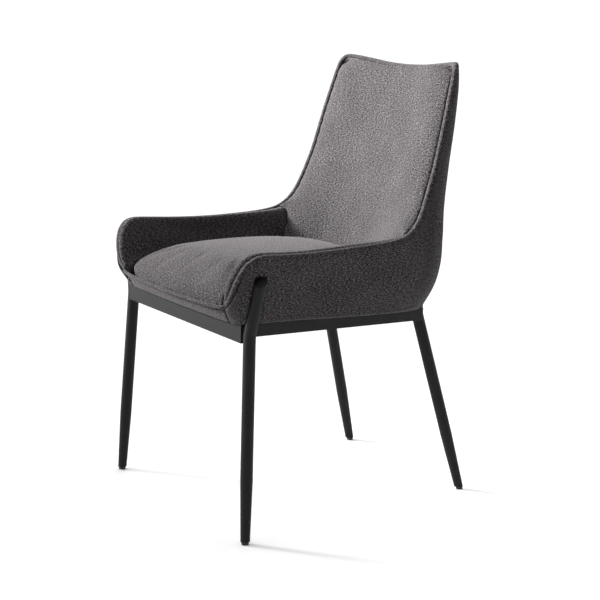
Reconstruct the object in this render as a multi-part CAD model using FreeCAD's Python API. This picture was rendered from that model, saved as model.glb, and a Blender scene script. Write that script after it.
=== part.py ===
"""Upholstered dining chair: bent steel legs, welded seat frame, plywood shell, foam and sewn covers.

Millimetres. +Z is up, the chair faces -Y, X = 0 is the plane of symmetry.
Values below are measured from midway between the front and the rear feet;
the saved pieces have their origin on the floor under the middle of the whole depth.
"""
import FreeCAD, Part
import math
import os

V = FreeCAD.Vector
ORIGIN_SHIFT = V(0, 6.07, 0)

# ---- legs ----
TUBE_RADIUS = 12.0
TUBE_WALL = 2.0
FOOT_RADIUS = 9.0
TAPER_LENGTH = 125.0
BEND_RADIUS = 60.0
FRONT_FOOT = V(269.0, -277.0, 0.0)
FRONT_BEND = V(245.3, -255.5, 397.0)
FRONT_STUB_TOP = V(273.0, -248.0, 501.0)
REAR_FOOT = V(208.0, 277.0, 0.0)
REAR_BEND = V(174.2, 177.0, 391.0)
REAR_STUB_TOP = V(163.0, 215.5, 505.0)
STUB_CUT_LEAN = 38.0
CAP_THICKNESS = 2.0
FOOT_OVERRUN = 20.0
STUB_OVERRUN = 30.0
STUB_ROOM = 10.0
CUTTER = 60.0

# ---- foot plugs ----
GLIDE_RADIUS = 7.2
GLIDE_HEIGHT = 6.0
GLIDE_STEM = 16.0
GLIDE_PLAY = 0.2
GLIDE_ROUNDING = 1.2

# ---- seat frame ----
RAIL_DEPTH = 20.0
SIDE_RAIL_HEIGHT = 25.0
FRONT_RAIL_HEIGHT = 37.5
RAIL_WALL = 1.5
FRAME_FRONT_Y = -255.5
FRAME_FRONT_TOP = 419.5
FRAME_SLOPE = 0.057
FRONT_RAIL_FACE_Y = -269.5
FRONT_RAIL_HALF = 237.0
SIDE_RAIL_FRONT_X = 249.4
SIDE_RAIL_REAR_LAP = 0.1
SIDE_RAIL_PAST_LEG = 4.5

# ---- fixings ----
TAB_LENGTH = 34.0
TAB_WIDTH = 26.0
TAB_THICKNESS = 3.0
TAB_FRONT_Y = -165.0
TAB_REAR_Y = 95.0
TAB_LAP = 6.0
TAB_PLAY = 1.0
BOLT_RADIUS = 3.0
BOLT_HOLE_RADIUS = 3.3
BOLT_LENGTH = 15.0
BOLT_HEAD_RADIUS = 5.5
BOLT_HEAD_HEIGHT = 4.0
BOLT_SOCKET_RADIUS = 2.25
HOLE_REACH = 10.0
WASHER_RADIUS = 6.5
WASHER_THICKNESS = 1.6
TEE_FLANGE_RADIUS = 9.0
TEE_FLANGE_THICKNESS = 1.2
TEE_BARREL_RADIUS = 4.0
TEE_BARREL_SHORT = 2.0
THREAD_PLAY = 0.05
SCREW_RADIUS = 2.0
SCREW_HEAD_RADIUS = 4.0
SCREW_HEAD_HEIGHT = 3.0
SCREW_LENGTH = 28.0
STAPLE_WIDTH = 10.0
STAPLE_WIRE = 0.8
STAPLE_PITCH = 70.0
STAPLE_RUN = 320.0
STAPLE_INSET = 8.0
STAPLE_PLAY = 0.05

# ---- shell, outside, one row per height:
# height, half width in front, half width behind, front face, rear face, front and rear corner radius
SHELL_LEVELS = [
    (385.0, 248.0, 197.0, -266.0, 156.0, 50.0, 26.0),
    (414.0, 250.0, 211.0, -275.0, 170.0, 50.0, 28.0),
    (450.0, 250.5, 226.0, -291.0, 182.0, 48.0, 30.0),
    (490.0, 255.5, 237.0, -297.0, 190.0, 44.0, 34.0),
    (545.0, 271.0, 244.0, -298.0, 195.0, 36.0, 38.0),
    (600.0, 268.0, 238.0, -298.0, 205.0, 36.0, 40.0),
    (680.0, 258.0, 228.0, -298.0, 224.0, 36.0, 38.0),
    (780.0, 248.0, 220.5, -298.0, 246.0, 36.0, 34.0),
    (850.0, 240.0, 212.5, -298.0, 258.0, 36.0, 30.0),
    (910.0, 234.0, 203.0, -298.0, 262.0, 36.0, 27.0),
]
REAR_BULGE = 12.0
# ---- finished inside of the bucket: height, half width in front, half width behind, rear face, rear radius
INNER_LEVELS = [
    (385.0, 208.0, 160.0, 92.0, 42.0),
    (450.0, 216.0, 183.0, 104.0, 50.0),
    (500.0, 221.0, 197.0, 117.0, 56.0),
    (545.0, 247.0, 219.0, 135.0, 60.0),
    (600.0, 242.0, 213.0, 152.0, 62.0),
    (680.0, 234.0, 204.0, 178.0, 60.0),
    (780.0, 226.0, 197.0, 209.0, 56.0),
    (850.0, 219.0, 189.0, 231.0, 48.0),
    (910.0, 212.0, 180.0, 249.0, 42.0),
]
INNER_FRONT_Y = -420.0

# ---- rim seen from the side ----
ARM_HEIGHT = 543.0
ARM_FRONT_Y = -291.0
ARM_FRONT_RADIUS = 50.0
RIM_SWEEP_RADIUS = 96.0
RIM_LEAN = 17.6
RIM_MARK_Y = 155.0
RIM_MARK_Z = 617.0
# ---- top edge seen from the front ----
TOP_MIDDLE = 868.0
TOP_CORNER = TOP_MIDDLE + 13.0
TOP_CORNER_X = 190.0
TOP_CORNER_RADIUS = 17.0
TOP_SIDE_SPLAY = 0.11
TOP_SIDE_ROOM = 60.0
BAND_WIDTH = 12.0
BAND_PROUD = 4.0
LEAST_CORNER = 6.0

# ---- layers, from the outside inwards ----
COVER = 4.0
BOARD = 10.0
BOARD_DROP = 5.0
CLOTH = 2.5
GAP = 0.3
SKIRT = 5.0
SEAT_BOARD_THICKNESS = 12.0
FRONT_ZONE_Y = -200.0
SIDE_BOARD_FRONT_Y = -255.0
SEAT_BOARD_FRONT_Y = -272.0
ARM_PAD_INNER_X = 20.0
ARM_PAD_FRONT_Y = -280.0
BACK_SEAM_X = 177.0
CORNER_SEAM_X = 205.0
INNER_SEAM_X = 205.0
INNER_SEAM_Y = 104.0
WELT_HEIGHT = 443.0
WELT_END_HEIGHT = 453.0
WELT_RADIUS = 3.0
WELT_FRONT_Y = -294.0
WELT_END_X = 214.0
WELT_END_Y = -289.0
DUST_COVER_THICKNESS = 0.8
DUST_COVER_FRONT_INSET = 1.0
DUST_COVER_SIDE_INSET = 4.0
DUST_COVER_REAR_INSET = 14.0
BLOCK_INNER_X = 150.0
BLOCK_FRONT_Y = 130.0
BLOCK_HEIGHT = 60.0
BLOCK_SCREW_INSET = 12.0
BLOCK_SCREW_SHARES = (0.3, 0.75)
FLANGE_ROOM = 6.0

# ---- seat cushion ----
SEAT_FRONT_Y = -291.0
SEAT_REAR_Y = 96.0
SEAT_FRONT_HALF = 213.0
SEAT_REAR_HALF = 178.0
SEAT_FRONT_CORNER = 42.0
SEAT_REAR_CORNER = 45.0
SEAT_CROWN = 519.0
SEAT_SIDE_DROP = 40.0
SEAT_REAR_DROP = 26.0
SEAT_NOSE_RADIUS = 55.0

# ---- limits of the cutting blocks ----
FAR = 700.0
LOW = 300.0
HIGH = 1000.0


def mirrored(shape):
    """The same shape on the other side of the chair."""
    return shape.mirror(V(0, 0, 0), V(1, 0, 0))


def frame_top(y):
    """Height of the sloping plane on top of the rails."""
    return FRAME_FRONT_TOP - FRAME_SLOPE * (y - FRAME_FRONT_Y)


FRAME_UP = V(0, FRAME_SLOPE, 1).normalize()


def slab(below, above):
    """Everything between two offsets from the sloping seat plane."""
    corners = [(-FAR, frame_top(-FAR) + below), (FAR, frame_top(FAR) + below),
               (FAR, frame_top(FAR) + above), (-FAR, frame_top(-FAR) + above)]
    points = [V(-FAR, y, z) for y, z in corners]
    face = Part.Face(Part.makePolygon(points + [points[0]]))
    return face.extrude(V(2 * FAR, 0, 0))


# ---------------------------------------------------------------- legs
def bent_path(foot, bend, top):
    """Foot to bend to stub top, with the bend rounded."""
    down = (foot - bend).normalize()
    up = (top - bend).normalize()
    turn = math.pi - down.getAngle(up)
    reach = BEND_RADIUS * math.tan(turn / 2)
    start = bend + down * reach
    end = bend + up * reach
    inward = (down + up).normalize()
    centre = bend + inward * (BEND_RADIUS / math.cos(turn / 2))
    middle = centre - inward * BEND_RADIUS
    return start, middle, end


def leg_body(foot, bend, top, shrink, beyond=STUB_OVERRUN):
    """Tapered lower tube, rounded bend and stub as one closed body, running beyond the stub's top."""
    radius = TUBE_RADIUS - shrink
    up = (bend - foot).normalize()
    start, middle, end = bent_path(foot, bend, top)
    low = foot - up * FOOT_OVERRUN
    taper_top = foot + up * TAPER_LENGTH
    rate = (TUBE_RADIUS - FOOT_RADIUS) / TAPER_LENGTH
    low_radius = FOOT_RADIUS - shrink - rate * FOOT_OVERRUN
    cone = Part.makeCone(low_radius, radius, (taper_top - low).Length, low, up)
    shank = Part.makeCylinder(radius, (start - taper_top).Length, taper_top, up)
    arc = Part.Wire(Part.Arc(start, middle, end).toShape())
    ring = Part.Wire(Part.makeCircle(radius, start, up))
    elbow = arc.makePipeShell([ring], True, False)
    stub_up = (top - end).normalize()
    stub = Part.makeCylinder(radius, (top - end).Length + beyond, end, stub_up)
    return cone.fuse([shank, elbow, stub]).removeSplitter()


def stub_cut(foot, top, offset):
    """Block above the slanted plane through the stub's top."""
    outward = V(top.x, 0, 0).normalize()
    forward = V(0, -1, 0) if foot.y < 0 else V(0, 1, 0)
    lean = math.radians(STUB_CUT_LEAN)
    level = (outward + forward).normalize()
    normal = V(0, 0, 1) * math.cos(lean) + level * math.sin(lean)
    base = top + normal * offset
    return Part.makeCylinder(CUTTER, CUTTER, base, normal)


def leg(foot, bend, top):
    """Hollow leg, cut level above the floor and slanted at the stub."""
    tube = leg_body(foot, bend, top, 0).cut(leg_body(foot, bend, top, TUBE_WALL))
    floor = Part.makeBox(2 * FAR, 2 * FAR, FAR + GLIDE_HEIGHT, V(-FAR, -FAR, -FAR))
    return tube.cut(floor).cut(stub_cut(foot, top, -CAP_THICKNESS))


def stub_cap(foot, bend, top):
    """Plate that closes the slanted end of a stub."""
    body = leg_body(foot, bend, top, 0)
    return body.common(stub_cut(foot, top, -CAP_THICKNESS)).cut(stub_cut(foot, top, 0))


def glide(foot, bend):
    """Foot plug: a disc on the floor and a stem inside the tube."""
    up = (bend - foot).normalize()
    disc = Part.makeCylinder(GLIDE_RADIUS, GLIDE_HEIGHT, V(foot.x, foot.y, 0), V(0, 0, 1))
    edge = [e for e in disc.Edges if abs(e.BoundBox.ZMax) < 0.01]
    disc = disc.makeFillet(GLIDE_ROUNDING, edge)
    stem_radius = FOOT_RADIUS - TUBE_WALL - GLIDE_PLAY
    stem = Part.makeCylinder(stem_radius, GLIDE_STEM + GLIDE_HEIGHT, foot, up)
    upper = Part.makeBox(2 * CUTTER, 2 * CUTTER, 2 * CUTTER, V(foot.x - CUTTER, foot.y - CUTTER, GLIDE_HEIGHT))
    return disc.fuse(stem.common(upper)).removeSplitter()


# ---------------------------------------------------------------- rails
def bar(start, end, width, height, outward):
    """Solid bar whose outer lower edge runs from start to end."""
    along = end - start
    points = [start, start - outward * width, start - outward * width + FRAME_UP * height,
              start + FRAME_UP * height]
    face = Part.Face(Part.makePolygon(points + [points[0]]))
    return face.extrude(along)


def hollow_bar(start, end, width, height, outward):
    """Rectangular tube with open ends."""
    inner = start - outward * RAIL_WALL + FRAME_UP * RAIL_WALL
    hole = bar(inner, inner + (end - start), width - 2 * RAIL_WALL, height - 2 * RAIL_WALL, outward)
    return bar(start, end, width, height, outward).cut(hole)


def side_rail_line():
    """Outer lower edge of the right side rail."""
    rear_leg = rear_leg_at_frame()
    x_rear = rear_leg.x + TUBE_RADIUS + RAIL_WALL + SIDE_RAIL_REAR_LAP
    y_rear = rear_leg.y + SIDE_RAIL_PAST_LEG
    start = V(SIDE_RAIL_FRONT_X, FRAME_FRONT_Y, frame_top(FRAME_FRONT_Y) - SIDE_RAIL_HEIGHT)
    end = V(x_rear, y_rear, frame_top(y_rear) - SIDE_RAIL_HEIGHT)
    return start, end


def rear_leg_at_frame():
    """Axis of the rear leg at the middle of the rail's height."""
    guess = frame_top(REAR_BEND.y) - SIDE_RAIL_HEIGHT / 2
    share = guess / REAR_BEND.z
    return REAR_FOOT + (REAR_BEND - REAR_FOOT) * share


def side_rail(solid_legs, front_block):
    """Right side rail, coped round both legs and butted to the front rail."""
    start, end = side_rail_line()
    rail = hollow_bar(start, end, RAIL_DEPTH, SIDE_RAIL_HEIGHT, V(1, 0, 0))
    for body in solid_legs:
        rail = rail.cut(body)
    return largest(rail.cut(front_block))


def front_rail_block(half):
    """Outside of the front rail."""
    top = frame_top(FRONT_RAIL_FACE_Y + RAIL_DEPTH)
    corner = V(-half, FRONT_RAIL_FACE_Y, top - FRONT_RAIL_HEIGHT)
    return Part.makeBox(2 * half, RAIL_DEPTH, FRONT_RAIL_HEIGHT, corner)


def front_rail(solid_legs):
    """Tall front rail, closed by its own ends and coped to the legs."""
    rail = front_rail_block(FRONT_RAIL_HALF)
    top = frame_top(FRONT_RAIL_FACE_Y + RAIL_DEPTH)
    hole = Part.makeBox(2 * (FRONT_RAIL_HALF - RAIL_WALL), RAIL_DEPTH - 2 * RAIL_WALL,
                        FRONT_RAIL_HEIGHT - 2 * RAIL_WALL,
                        V(-FRONT_RAIL_HALF + RAIL_WALL, FRONT_RAIL_FACE_Y + RAIL_WALL,
                          top - FRONT_RAIL_HEIGHT + RAIL_WALL))
    rail = rail.cut(hole)
    for body in solid_legs:
        rail = rail.cut(body)
    return largest(rail)


def rear_rail(solid_legs):
    """Rear rail between the rear legs."""
    axis = rear_leg_at_frame()
    y = axis.y + RAIL_DEPTH / 2
    z = frame_top(y) - SIDE_RAIL_HEIGHT
    half = axis.x
    points = [V(-half, y, z), V(-half, y - RAIL_DEPTH, z + FRAME_SLOPE * RAIL_DEPTH)]
    outer = Part.Face(Part.makePolygon([points[0], points[1], points[1] + FRAME_UP * SIDE_RAIL_HEIGHT,
                                        points[0] + FRAME_UP * SIDE_RAIL_HEIGHT, points[0]]))
    back = (points[1] - points[0]).normalize()
    low = points[0] + back * RAIL_WALL + FRAME_UP * RAIL_WALL
    deep = back * (RAIL_DEPTH - 2 * RAIL_WALL)
    tall = FRAME_UP * (SIDE_RAIL_HEIGHT - 2 * RAIL_WALL)
    inner = Part.Face(Part.makePolygon([low, low + deep, low + deep + tall, low + tall, low]))
    rail = outer.extrude(V(2 * half, 0, 0)).cut(inner.extrude(V(2 * half, 0, 0)))
    start, end = side_rail_line()
    side = bar(start, end, RAIL_DEPTH, SIDE_RAIL_HEIGHT, V(1, 0, 0))
    for body in list(solid_legs) + [side, mirrored(side)]:
        rail = rail.cut(body)
    return largest(rail)


def largest(shape):
    """The biggest solid of a cut, without slivers."""
    return max(shape.Solids, key=lambda s: s.Volume)


# ---------------------------------------------------------------- fixings
def tab_centre(y):
    """Middle of a seat tab's top face, on the right side."""
    start, end = side_rail_line()
    share = (y - start.y) / (end.y - start.y)
    x = start.x + (end.x - start.x) * share - RAIL_DEPTH - TAB_WIDTH / 2
    return V(x, y, frame_top(y))


def tab_points():
    """All four tab centres."""
    right = [tab_centre(TAB_FRONT_Y), tab_centre(TAB_REAR_Y)]
    return right + [V(-p.x, p.y, p.z) for p in right]


def seat_tab(point):
    """Drilled tab, welded to the rail's inner face."""
    side = 1 if point.x > 0 else -1
    reach = TAB_WIDTH / 2 + TAB_LAP
    corner = point + V(-side * TAB_WIDTH / 2, -TAB_LENGTH / 2, FRAME_SLOPE * TAB_LENGTH / 2)
    along = V(0, TAB_LENGTH, -FRAME_SLOPE * TAB_LENGTH)
    across = V(side * (TAB_WIDTH / 2 + reach), 0, 0)
    down = FRAME_UP * (-TAB_THICKNESS)
    face = Part.Face(Part.makePolygon([corner, corner + along, corner + along + across,
                                       corner + across, corner]))
    plate = face.extrude(down)
    hole = Part.makeCylinder(BOLT_HOLE_RADIUS, 2 * HOLE_REACH, point - FRAME_UP * HOLE_REACH, FRAME_UP)
    start, end = side_rail_line()
    rail = bar(start, end, RAIL_DEPTH, SIDE_RAIL_HEIGHT, V(1, 0, 0))
    rail = rail if side > 0 else mirrored(rail)
    return plate.cut(hole).cut(rail)


def frame_bolt(point):
    """Bolt from below through washer and tab into the tee nut."""
    seat = point - FRAME_UP * (TAB_THICKNESS + WASHER_THICKNESS)
    shank = Part.makeCylinder(BOLT_RADIUS, BOLT_LENGTH, seat, FRAME_UP)
    head = Part.makeCylinder(BOLT_HEAD_RADIUS, BOLT_HEAD_HEIGHT, seat - FRAME_UP * BOLT_HEAD_HEIGHT,
                             FRAME_UP)
    socket = Part.makeCylinder(BOLT_SOCKET_RADIUS, BOLT_HEAD_HEIGHT / 2,
                               seat - FRAME_UP * BOLT_HEAD_HEIGHT, FRAME_UP)
    return head.fuse(shank).cut(socket).removeSplitter()


def bolt_washer(point):
    """Plain washer under a bolt's head."""
    seat = point - FRAME_UP * (TAB_THICKNESS + WASHER_THICKNESS)
    disc = Part.makeCylinder(WASHER_RADIUS, WASHER_THICKNESS, seat, FRAME_UP)
    return disc.cut(Part.makeCylinder(BOLT_HOLE_RADIUS, WASHER_THICKNESS, seat, FRAME_UP))


def tee_nut(point):
    """Tee nut: barrel in the board's hole, flange on the board's top."""
    top = point + FRAME_UP * SEAT_BOARD_THICKNESS
    flange = Part.makeCylinder(TEE_FLANGE_RADIUS, TEE_FLANGE_THICKNESS, top, FRAME_UP)
    barrel = Part.makeCylinder(TEE_BARREL_RADIUS, SEAT_BOARD_THICKNESS - TEE_BARREL_SHORT,
                               point + FRAME_UP * TEE_BARREL_SHORT, FRAME_UP)
    bore = Part.makeCylinder(BOLT_RADIUS + THREAD_PLAY, SEAT_BOARD_THICKNESS + HOLE_REACH, point, FRAME_UP)
    return flange.fuse(barrel).cut(bore).removeSplitter()


# ---------------------------------------------------------------- shell envelope
def corner_arc(centre_x, centre_y, radius, start_deg, end_deg, z):
    """Arc in a level section, from one angle to another."""
    points = []
    for angle in (start_deg, (start_deg + end_deg) / 2, end_deg):
        a = math.radians(angle)
        points.append(V(centre_x + radius * math.cos(a), centre_y + radius * math.sin(a), z))
    return Part.Arc(*points).toShape(), points


def rear_arc(right, left, bulge):
    """Rear edge of a section, bowed outwards by the bulge."""
    middle = V(0, right.y + bulge, right.z)
    return Part.Arc(right, middle, left).toShape()


def outer_section(level, inset):
    """Level section of the closed tub, set in by an even amount."""
    z, front_half, rear_half, front_y, rear_y, front_r, rear_r = level
    a, b = front_half - inset, rear_half - inset
    near, far = front_y + inset, rear_y - inset
    rf, rr = max(front_r - inset, LEAST_CORNER), max(rear_r - inset, LEAST_CORNER)
    front_arc, f = corner_arc(a - rf, near + rf, rf, -90, 0, z)
    back_arc, r = corner_arc(b - rr, far - rr, rr, 0, 90, z)
    side = Part.makeLine(f[2], r[0])
    left_r = [V(-p.x, p.y, p.z) for p in r]
    left_f = [V(-p.x, p.y, p.z) for p in f]
    edges = [front_arc, side, back_arc, rear_arc(r[2], left_r[2], REAR_BULGE),
             Part.Arc(left_r[2], left_r[1], left_r[0]).toShape(), Part.makeLine(left_r[0], left_f[2]),
             Part.Arc(left_f[2], left_f[1], left_f[0]).toShape(), Part.makeLine(left_f[0], f[0])]
    return Part.Wire(edges)


def tub(inset):
    """The shell's outside, filled, set in by an even amount."""
    return Part.makeLoft([outer_section(level, inset) for level in SHELL_LEVELS], True, False)


def inner_section(level, grow):
    """Level section of the sitter's space, grown by an even amount."""
    z, front_half, rear_half, rear_y, radius = level
    a, b, far, r = front_half + grow, rear_half + grow, rear_y + grow, radius + grow
    back_arc, p = corner_arc(b - r, far - r, r, 0, 90, z)
    left = [V(-q.x, q.y, q.z) for q in p]
    front = V(a, INNER_FRONT_Y, z)
    front_left = V(-a, INNER_FRONT_Y, z)
    edges = [Part.makeLine(front, p[0]), back_arc, rear_arc(p[2], left[2], REAR_BULGE),
             Part.Arc(left[2], left[1], left[0]).toShape(), Part.makeLine(left[0], front_left),
             Part.makeLine(front_left, front)]
    return Part.Wire(edges)


def sitter_space(grow):
    """The finished inside of the bucket, as a filled body."""
    return Part.makeLoft([inner_section(level, grow) for level in INNER_LEVELS], True, False)


def rim_points(lift):
    """Corners of the rim's side view: arm front, arm top, sweep and back edge."""
    lean = math.radians(RIM_LEAN)
    across = V(0, -math.cos(lean), math.sin(lean)) * lift
    mark = V(0, RIM_MARK_Y, RIM_MARK_Z) + across
    slope = V(0, math.sin(lean), math.cos(lean))
    arm_z = ARM_HEIGHT + lift
    meet = mark + slope * ((arm_z - mark.z) / slope.z)
    top = mark + slope * ((HIGH - mark.z) / slope.z)
    front = V(0, ARM_FRONT_Y - lift, LOW)
    corner = V(0, ARM_FRONT_Y - lift, arm_z)
    return front, corner, meet, top


def rounded(before, corner, after, radius):
    """Tangent arc at a corner, with its two ends."""
    u = (before - corner).normalize()
    w = (after - corner).normalize()
    half = u.getAngle(w) / 2
    reach = radius / math.tan(half)
    bisector = (u + w).normalize()
    middle = corner + bisector * (radius / math.sin(half) - radius)
    return corner + u * reach, middle, corner + w * reach


def side_view(lift):
    """Everything below and behind the rim, seen from the side."""
    front, corner, meet, top = rim_points(lift)
    a, a_mid, b = rounded(front, corner, meet, ARM_FRONT_RADIUS + lift)
    c, c_mid, d = rounded(corner, meet, top, RIM_SWEEP_RADIUS - lift)
    behind = V(0, FAR, top.z)
    under = V(0, FAR, front.z)
    edges = [Part.makeLine(front, a), Part.Arc(a, a_mid, b).toShape(), Part.makeLine(b, c),
             Part.Arc(c, c_mid, d).toShape(), Part.makeLine(d, top), Part.makeLine(top, behind),
             Part.makeLine(behind, under), Part.makeLine(under, front)]
    face = Part.Face(Part.Wire(edges))
    face.translate(V(-FAR, 0, 0))
    return face.extrude(V(2 * FAR, 0, 0))


def front_view(lift):
    """Everything below the top edge, seen from the front, with rounded top corners."""
    middle = V(0, -FAR, TOP_MIDDLE + lift)
    right = V(TOP_CORNER_X, -FAR, TOP_CORNER + lift)
    left = V(-TOP_CORNER_X, -FAR, TOP_CORNER + lift)
    radius = TOP_CORNER_RADIUS + lift
    turn = radius * math.sin(math.radians(45))
    shoulder = V(right.x + turn, -FAR, right.z - radius + turn)
    side = V(right.x + radius, -FAR, right.z - radius)
    foot = V(side.x + TOP_SIDE_SPLAY * (side.z - LOW) + TOP_SIDE_ROOM, -FAR, LOW)
    mirror = [V(-p.x, p.y, p.z) for p in (shoulder, side, foot)]
    edges = [Part.Arc(left, middle, right).toShape(), Part.Arc(right, shoulder, side).toShape(),
             Part.makeLine(side, foot), Part.makeLine(foot, mirror[2]), Part.makeLine(mirror[2], mirror[1]),
             Part.Arc(mirror[1], mirror[0], left).toShape()]
    return Part.Face(Part.Wire(edges)).extrude(V(0, 2 * FAR, 0))


def half_space(x_low, x_high, y_low=-FAR, y_high=FAR, z_low=LOW, z_high=HIGH):
    """Plain box given by its limits."""
    return Part.makeBox(x_high - x_low, y_high - y_low, z_high - z_low, V(x_low, y_low, z_low))


def seam_prism():
    """Plan region of the inner back, bounded by the two slanted corner seams."""
    x, y = INNER_SEAM_X, INNER_SEAM_Y
    far = FAR - y
    points = [V(-x, y, LOW), V(x, y, LOW), V(x + far, FAR, LOW), V(-x - far, FAR, LOW)]
    return Part.Face(Part.makePolygon(points + [points[0]])).extrude(V(0, 0, FAR))


# ---------------------------------------------------------------- seat cushion
def seat_plan(inset):
    """Rounded trapezium of the cushion, as a tall block."""
    a, b = SEAT_FRONT_HALF - inset, SEAT_REAR_HALF - inset
    near, far = SEAT_FRONT_Y + inset, SEAT_REAR_Y - inset
    rf, rr = SEAT_FRONT_CORNER - inset, SEAT_REAR_CORNER - inset
    front_arc, f = corner_arc(a - rf, near + rf, rf, -90, 0, LOW)
    back_arc, r = corner_arc(b - rr, far - rr, rr, 0, 90, LOW)
    lf = [V(-p.x, p.y, p.z) for p in f]
    lr = [V(-p.x, p.y, p.z) for p in r]
    edges = [front_arc, Part.makeLine(f[2], r[0]), back_arc, Part.makeLine(r[2], lr[2]),
             Part.Arc(lr[2], lr[1], lr[0]).toShape(), Part.makeLine(lr[0], lf[2]),
             Part.Arc(lf[2], lf[1], lf[0]).toShape(), Part.makeLine(lf[0], f[0])]
    return Part.Face(Part.Wire(edges)).extrude(V(0, 0, FAR))


def seat_side_view(inset):
    """Bull nose in front, level top, gentle fall behind."""
    crown = SEAT_CROWN - inset
    nose = SEAT_NOSE_RADIUS - inset
    near = SEAT_FRONT_Y + inset
    low = V(-FAR, near, LOW)
    a = V(-FAR, near, crown - nose)
    turn = nose * math.sin(math.radians(45))
    mid = V(-FAR, near + nose - turn, crown - nose + turn)
    b = V(-FAR, near + nose, crown)
    c = V(-FAR, (b.y + SEAT_REAR_Y) / 2, crown - SEAT_REAR_DROP / 5)
    d = V(-FAR, SEAT_REAR_Y, crown - SEAT_REAR_DROP)
    e = V(-FAR, SEAT_REAR_Y, LOW)
    edges = [Part.makeLine(low, a), Part.Arc(a, mid, b).toShape(), Part.Arc(b, c, d).toShape(),
             Part.makeLine(d, e), Part.makeLine(e, low)]
    return Part.Face(Part.Wire(edges)).extrude(V(2 * FAR, 0, 0))


def seat_front_view(inset):
    """Crown across the seat."""
    crown = SEAT_CROWN - inset
    half = SEAT_FRONT_HALF
    low = crown - SEAT_SIDE_DROP
    left, right = V(-half, -FAR, low), V(half, -FAR, low)
    foot_left, foot_right = V(-half, -FAR, LOW), V(half, -FAR, LOW)
    edges = [Part.Arc(left, V(0, -FAR, crown), right).toShape(), Part.makeLine(right, foot_right),
             Part.makeLine(foot_right, foot_left), Part.makeLine(foot_left, left)]
    return Part.Face(Part.Wire(edges)).extrude(V(0, 2 * FAR, 0))


def seat_block(inset):
    """Crowned cushion, set in by an even amount."""
    block = seat_plan(inset).common(seat_side_view(inset))
    return block.common(seat_front_view(inset))


# ---------------------------------------------------------------- build
def save(name, shape):
    """One STEP file per node."""
    for solid in shape.Solids:
        if not solid.isValid():
            raise ValueError("invalid solid in " + name)
    print(name, len(shape.Solids), round(shape.Volume))
    shape.translated(ORIGIN_SHIFT).exportStep("parts/" + name + ".step")


def group(shapes):
    """Several separate solids in one node."""
    return Part.makeCompound(shapes)


def save_pair(name, right):
    """Right-hand piece and its mirror image."""
    save("right_" + name, right)
    save("left_" + name, mirrored(right))


def build_frame():
    """Legs, rails, caps and glides; returns solid bodies that the shell keeps clear of."""
    front = (FRONT_FOOT, FRONT_BEND, FRONT_STUB_TOP)
    rear = (REAR_FOOT, REAR_BEND, REAR_STUB_TOP)
    front_leg, rear_leg = leg(*front), leg(*rear)
    save("front_right_leg", front_leg)
    save("front_left_leg", mirrored(front_leg))
    save("rear_right_leg", rear_leg)
    save("rear_left_leg", mirrored(rear_leg))
    caps = [stub_cap(*front), stub_cap(*rear)]
    save("stub_caps", group(caps + [mirrored(c) for c in caps]))
    plugs = [glide(FRONT_FOOT, FRONT_BEND), glide(REAR_FOOT, REAR_BEND)]
    save("glides", group(plugs + [mirrored(p) for p in plugs]))
    full = [leg_body(*front, 0), leg_body(*rear, 0)]
    legs = full + [mirrored(b) for b in full]
    save("front_rail", front_rail(legs))
    save("rear_rail", rear_rail(legs))
    save_pair("side_rail", side_rail(legs, front_rail_block(FRONT_RAIL_HALF)))
    save("seat_tabs", group([seat_tab(p) for p in tab_points()]))
    save("frame_bolts", group([frame_bolt(p) for p in tab_points()]))
    save("bolt_washers", group([bolt_washer(p) for p in tab_points()]))
    save("tee_nuts", group([tee_nut(p) for p in tab_points()]))
    roomy = [leg_body(*front, -GAP, STUB_ROOM), leg_body(*rear, -GAP, STUB_ROOM)]
    start, end = side_rail_line()
    shift = V(GAP, 0, -GAP)
    wide = bar(start + shift, end + shift, RAIL_DEPTH + 2 * GAP, SIDE_RAIL_HEIGHT + GAP, V(1, 0, 0))
    front_wide = front_rail_block(FRONT_RAIL_HALF + GAP)
    front_wide.translate(V(0, -GAP, 0))
    keep = roomy + [wide]
    return keep + [mirrored(k) for k in keep] + [front_wide]


def layer(outer_inset, inner_inset):
    """Wall of the tub between two insets."""
    return tub(outer_inset).cut(tub(inner_inset))


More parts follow.
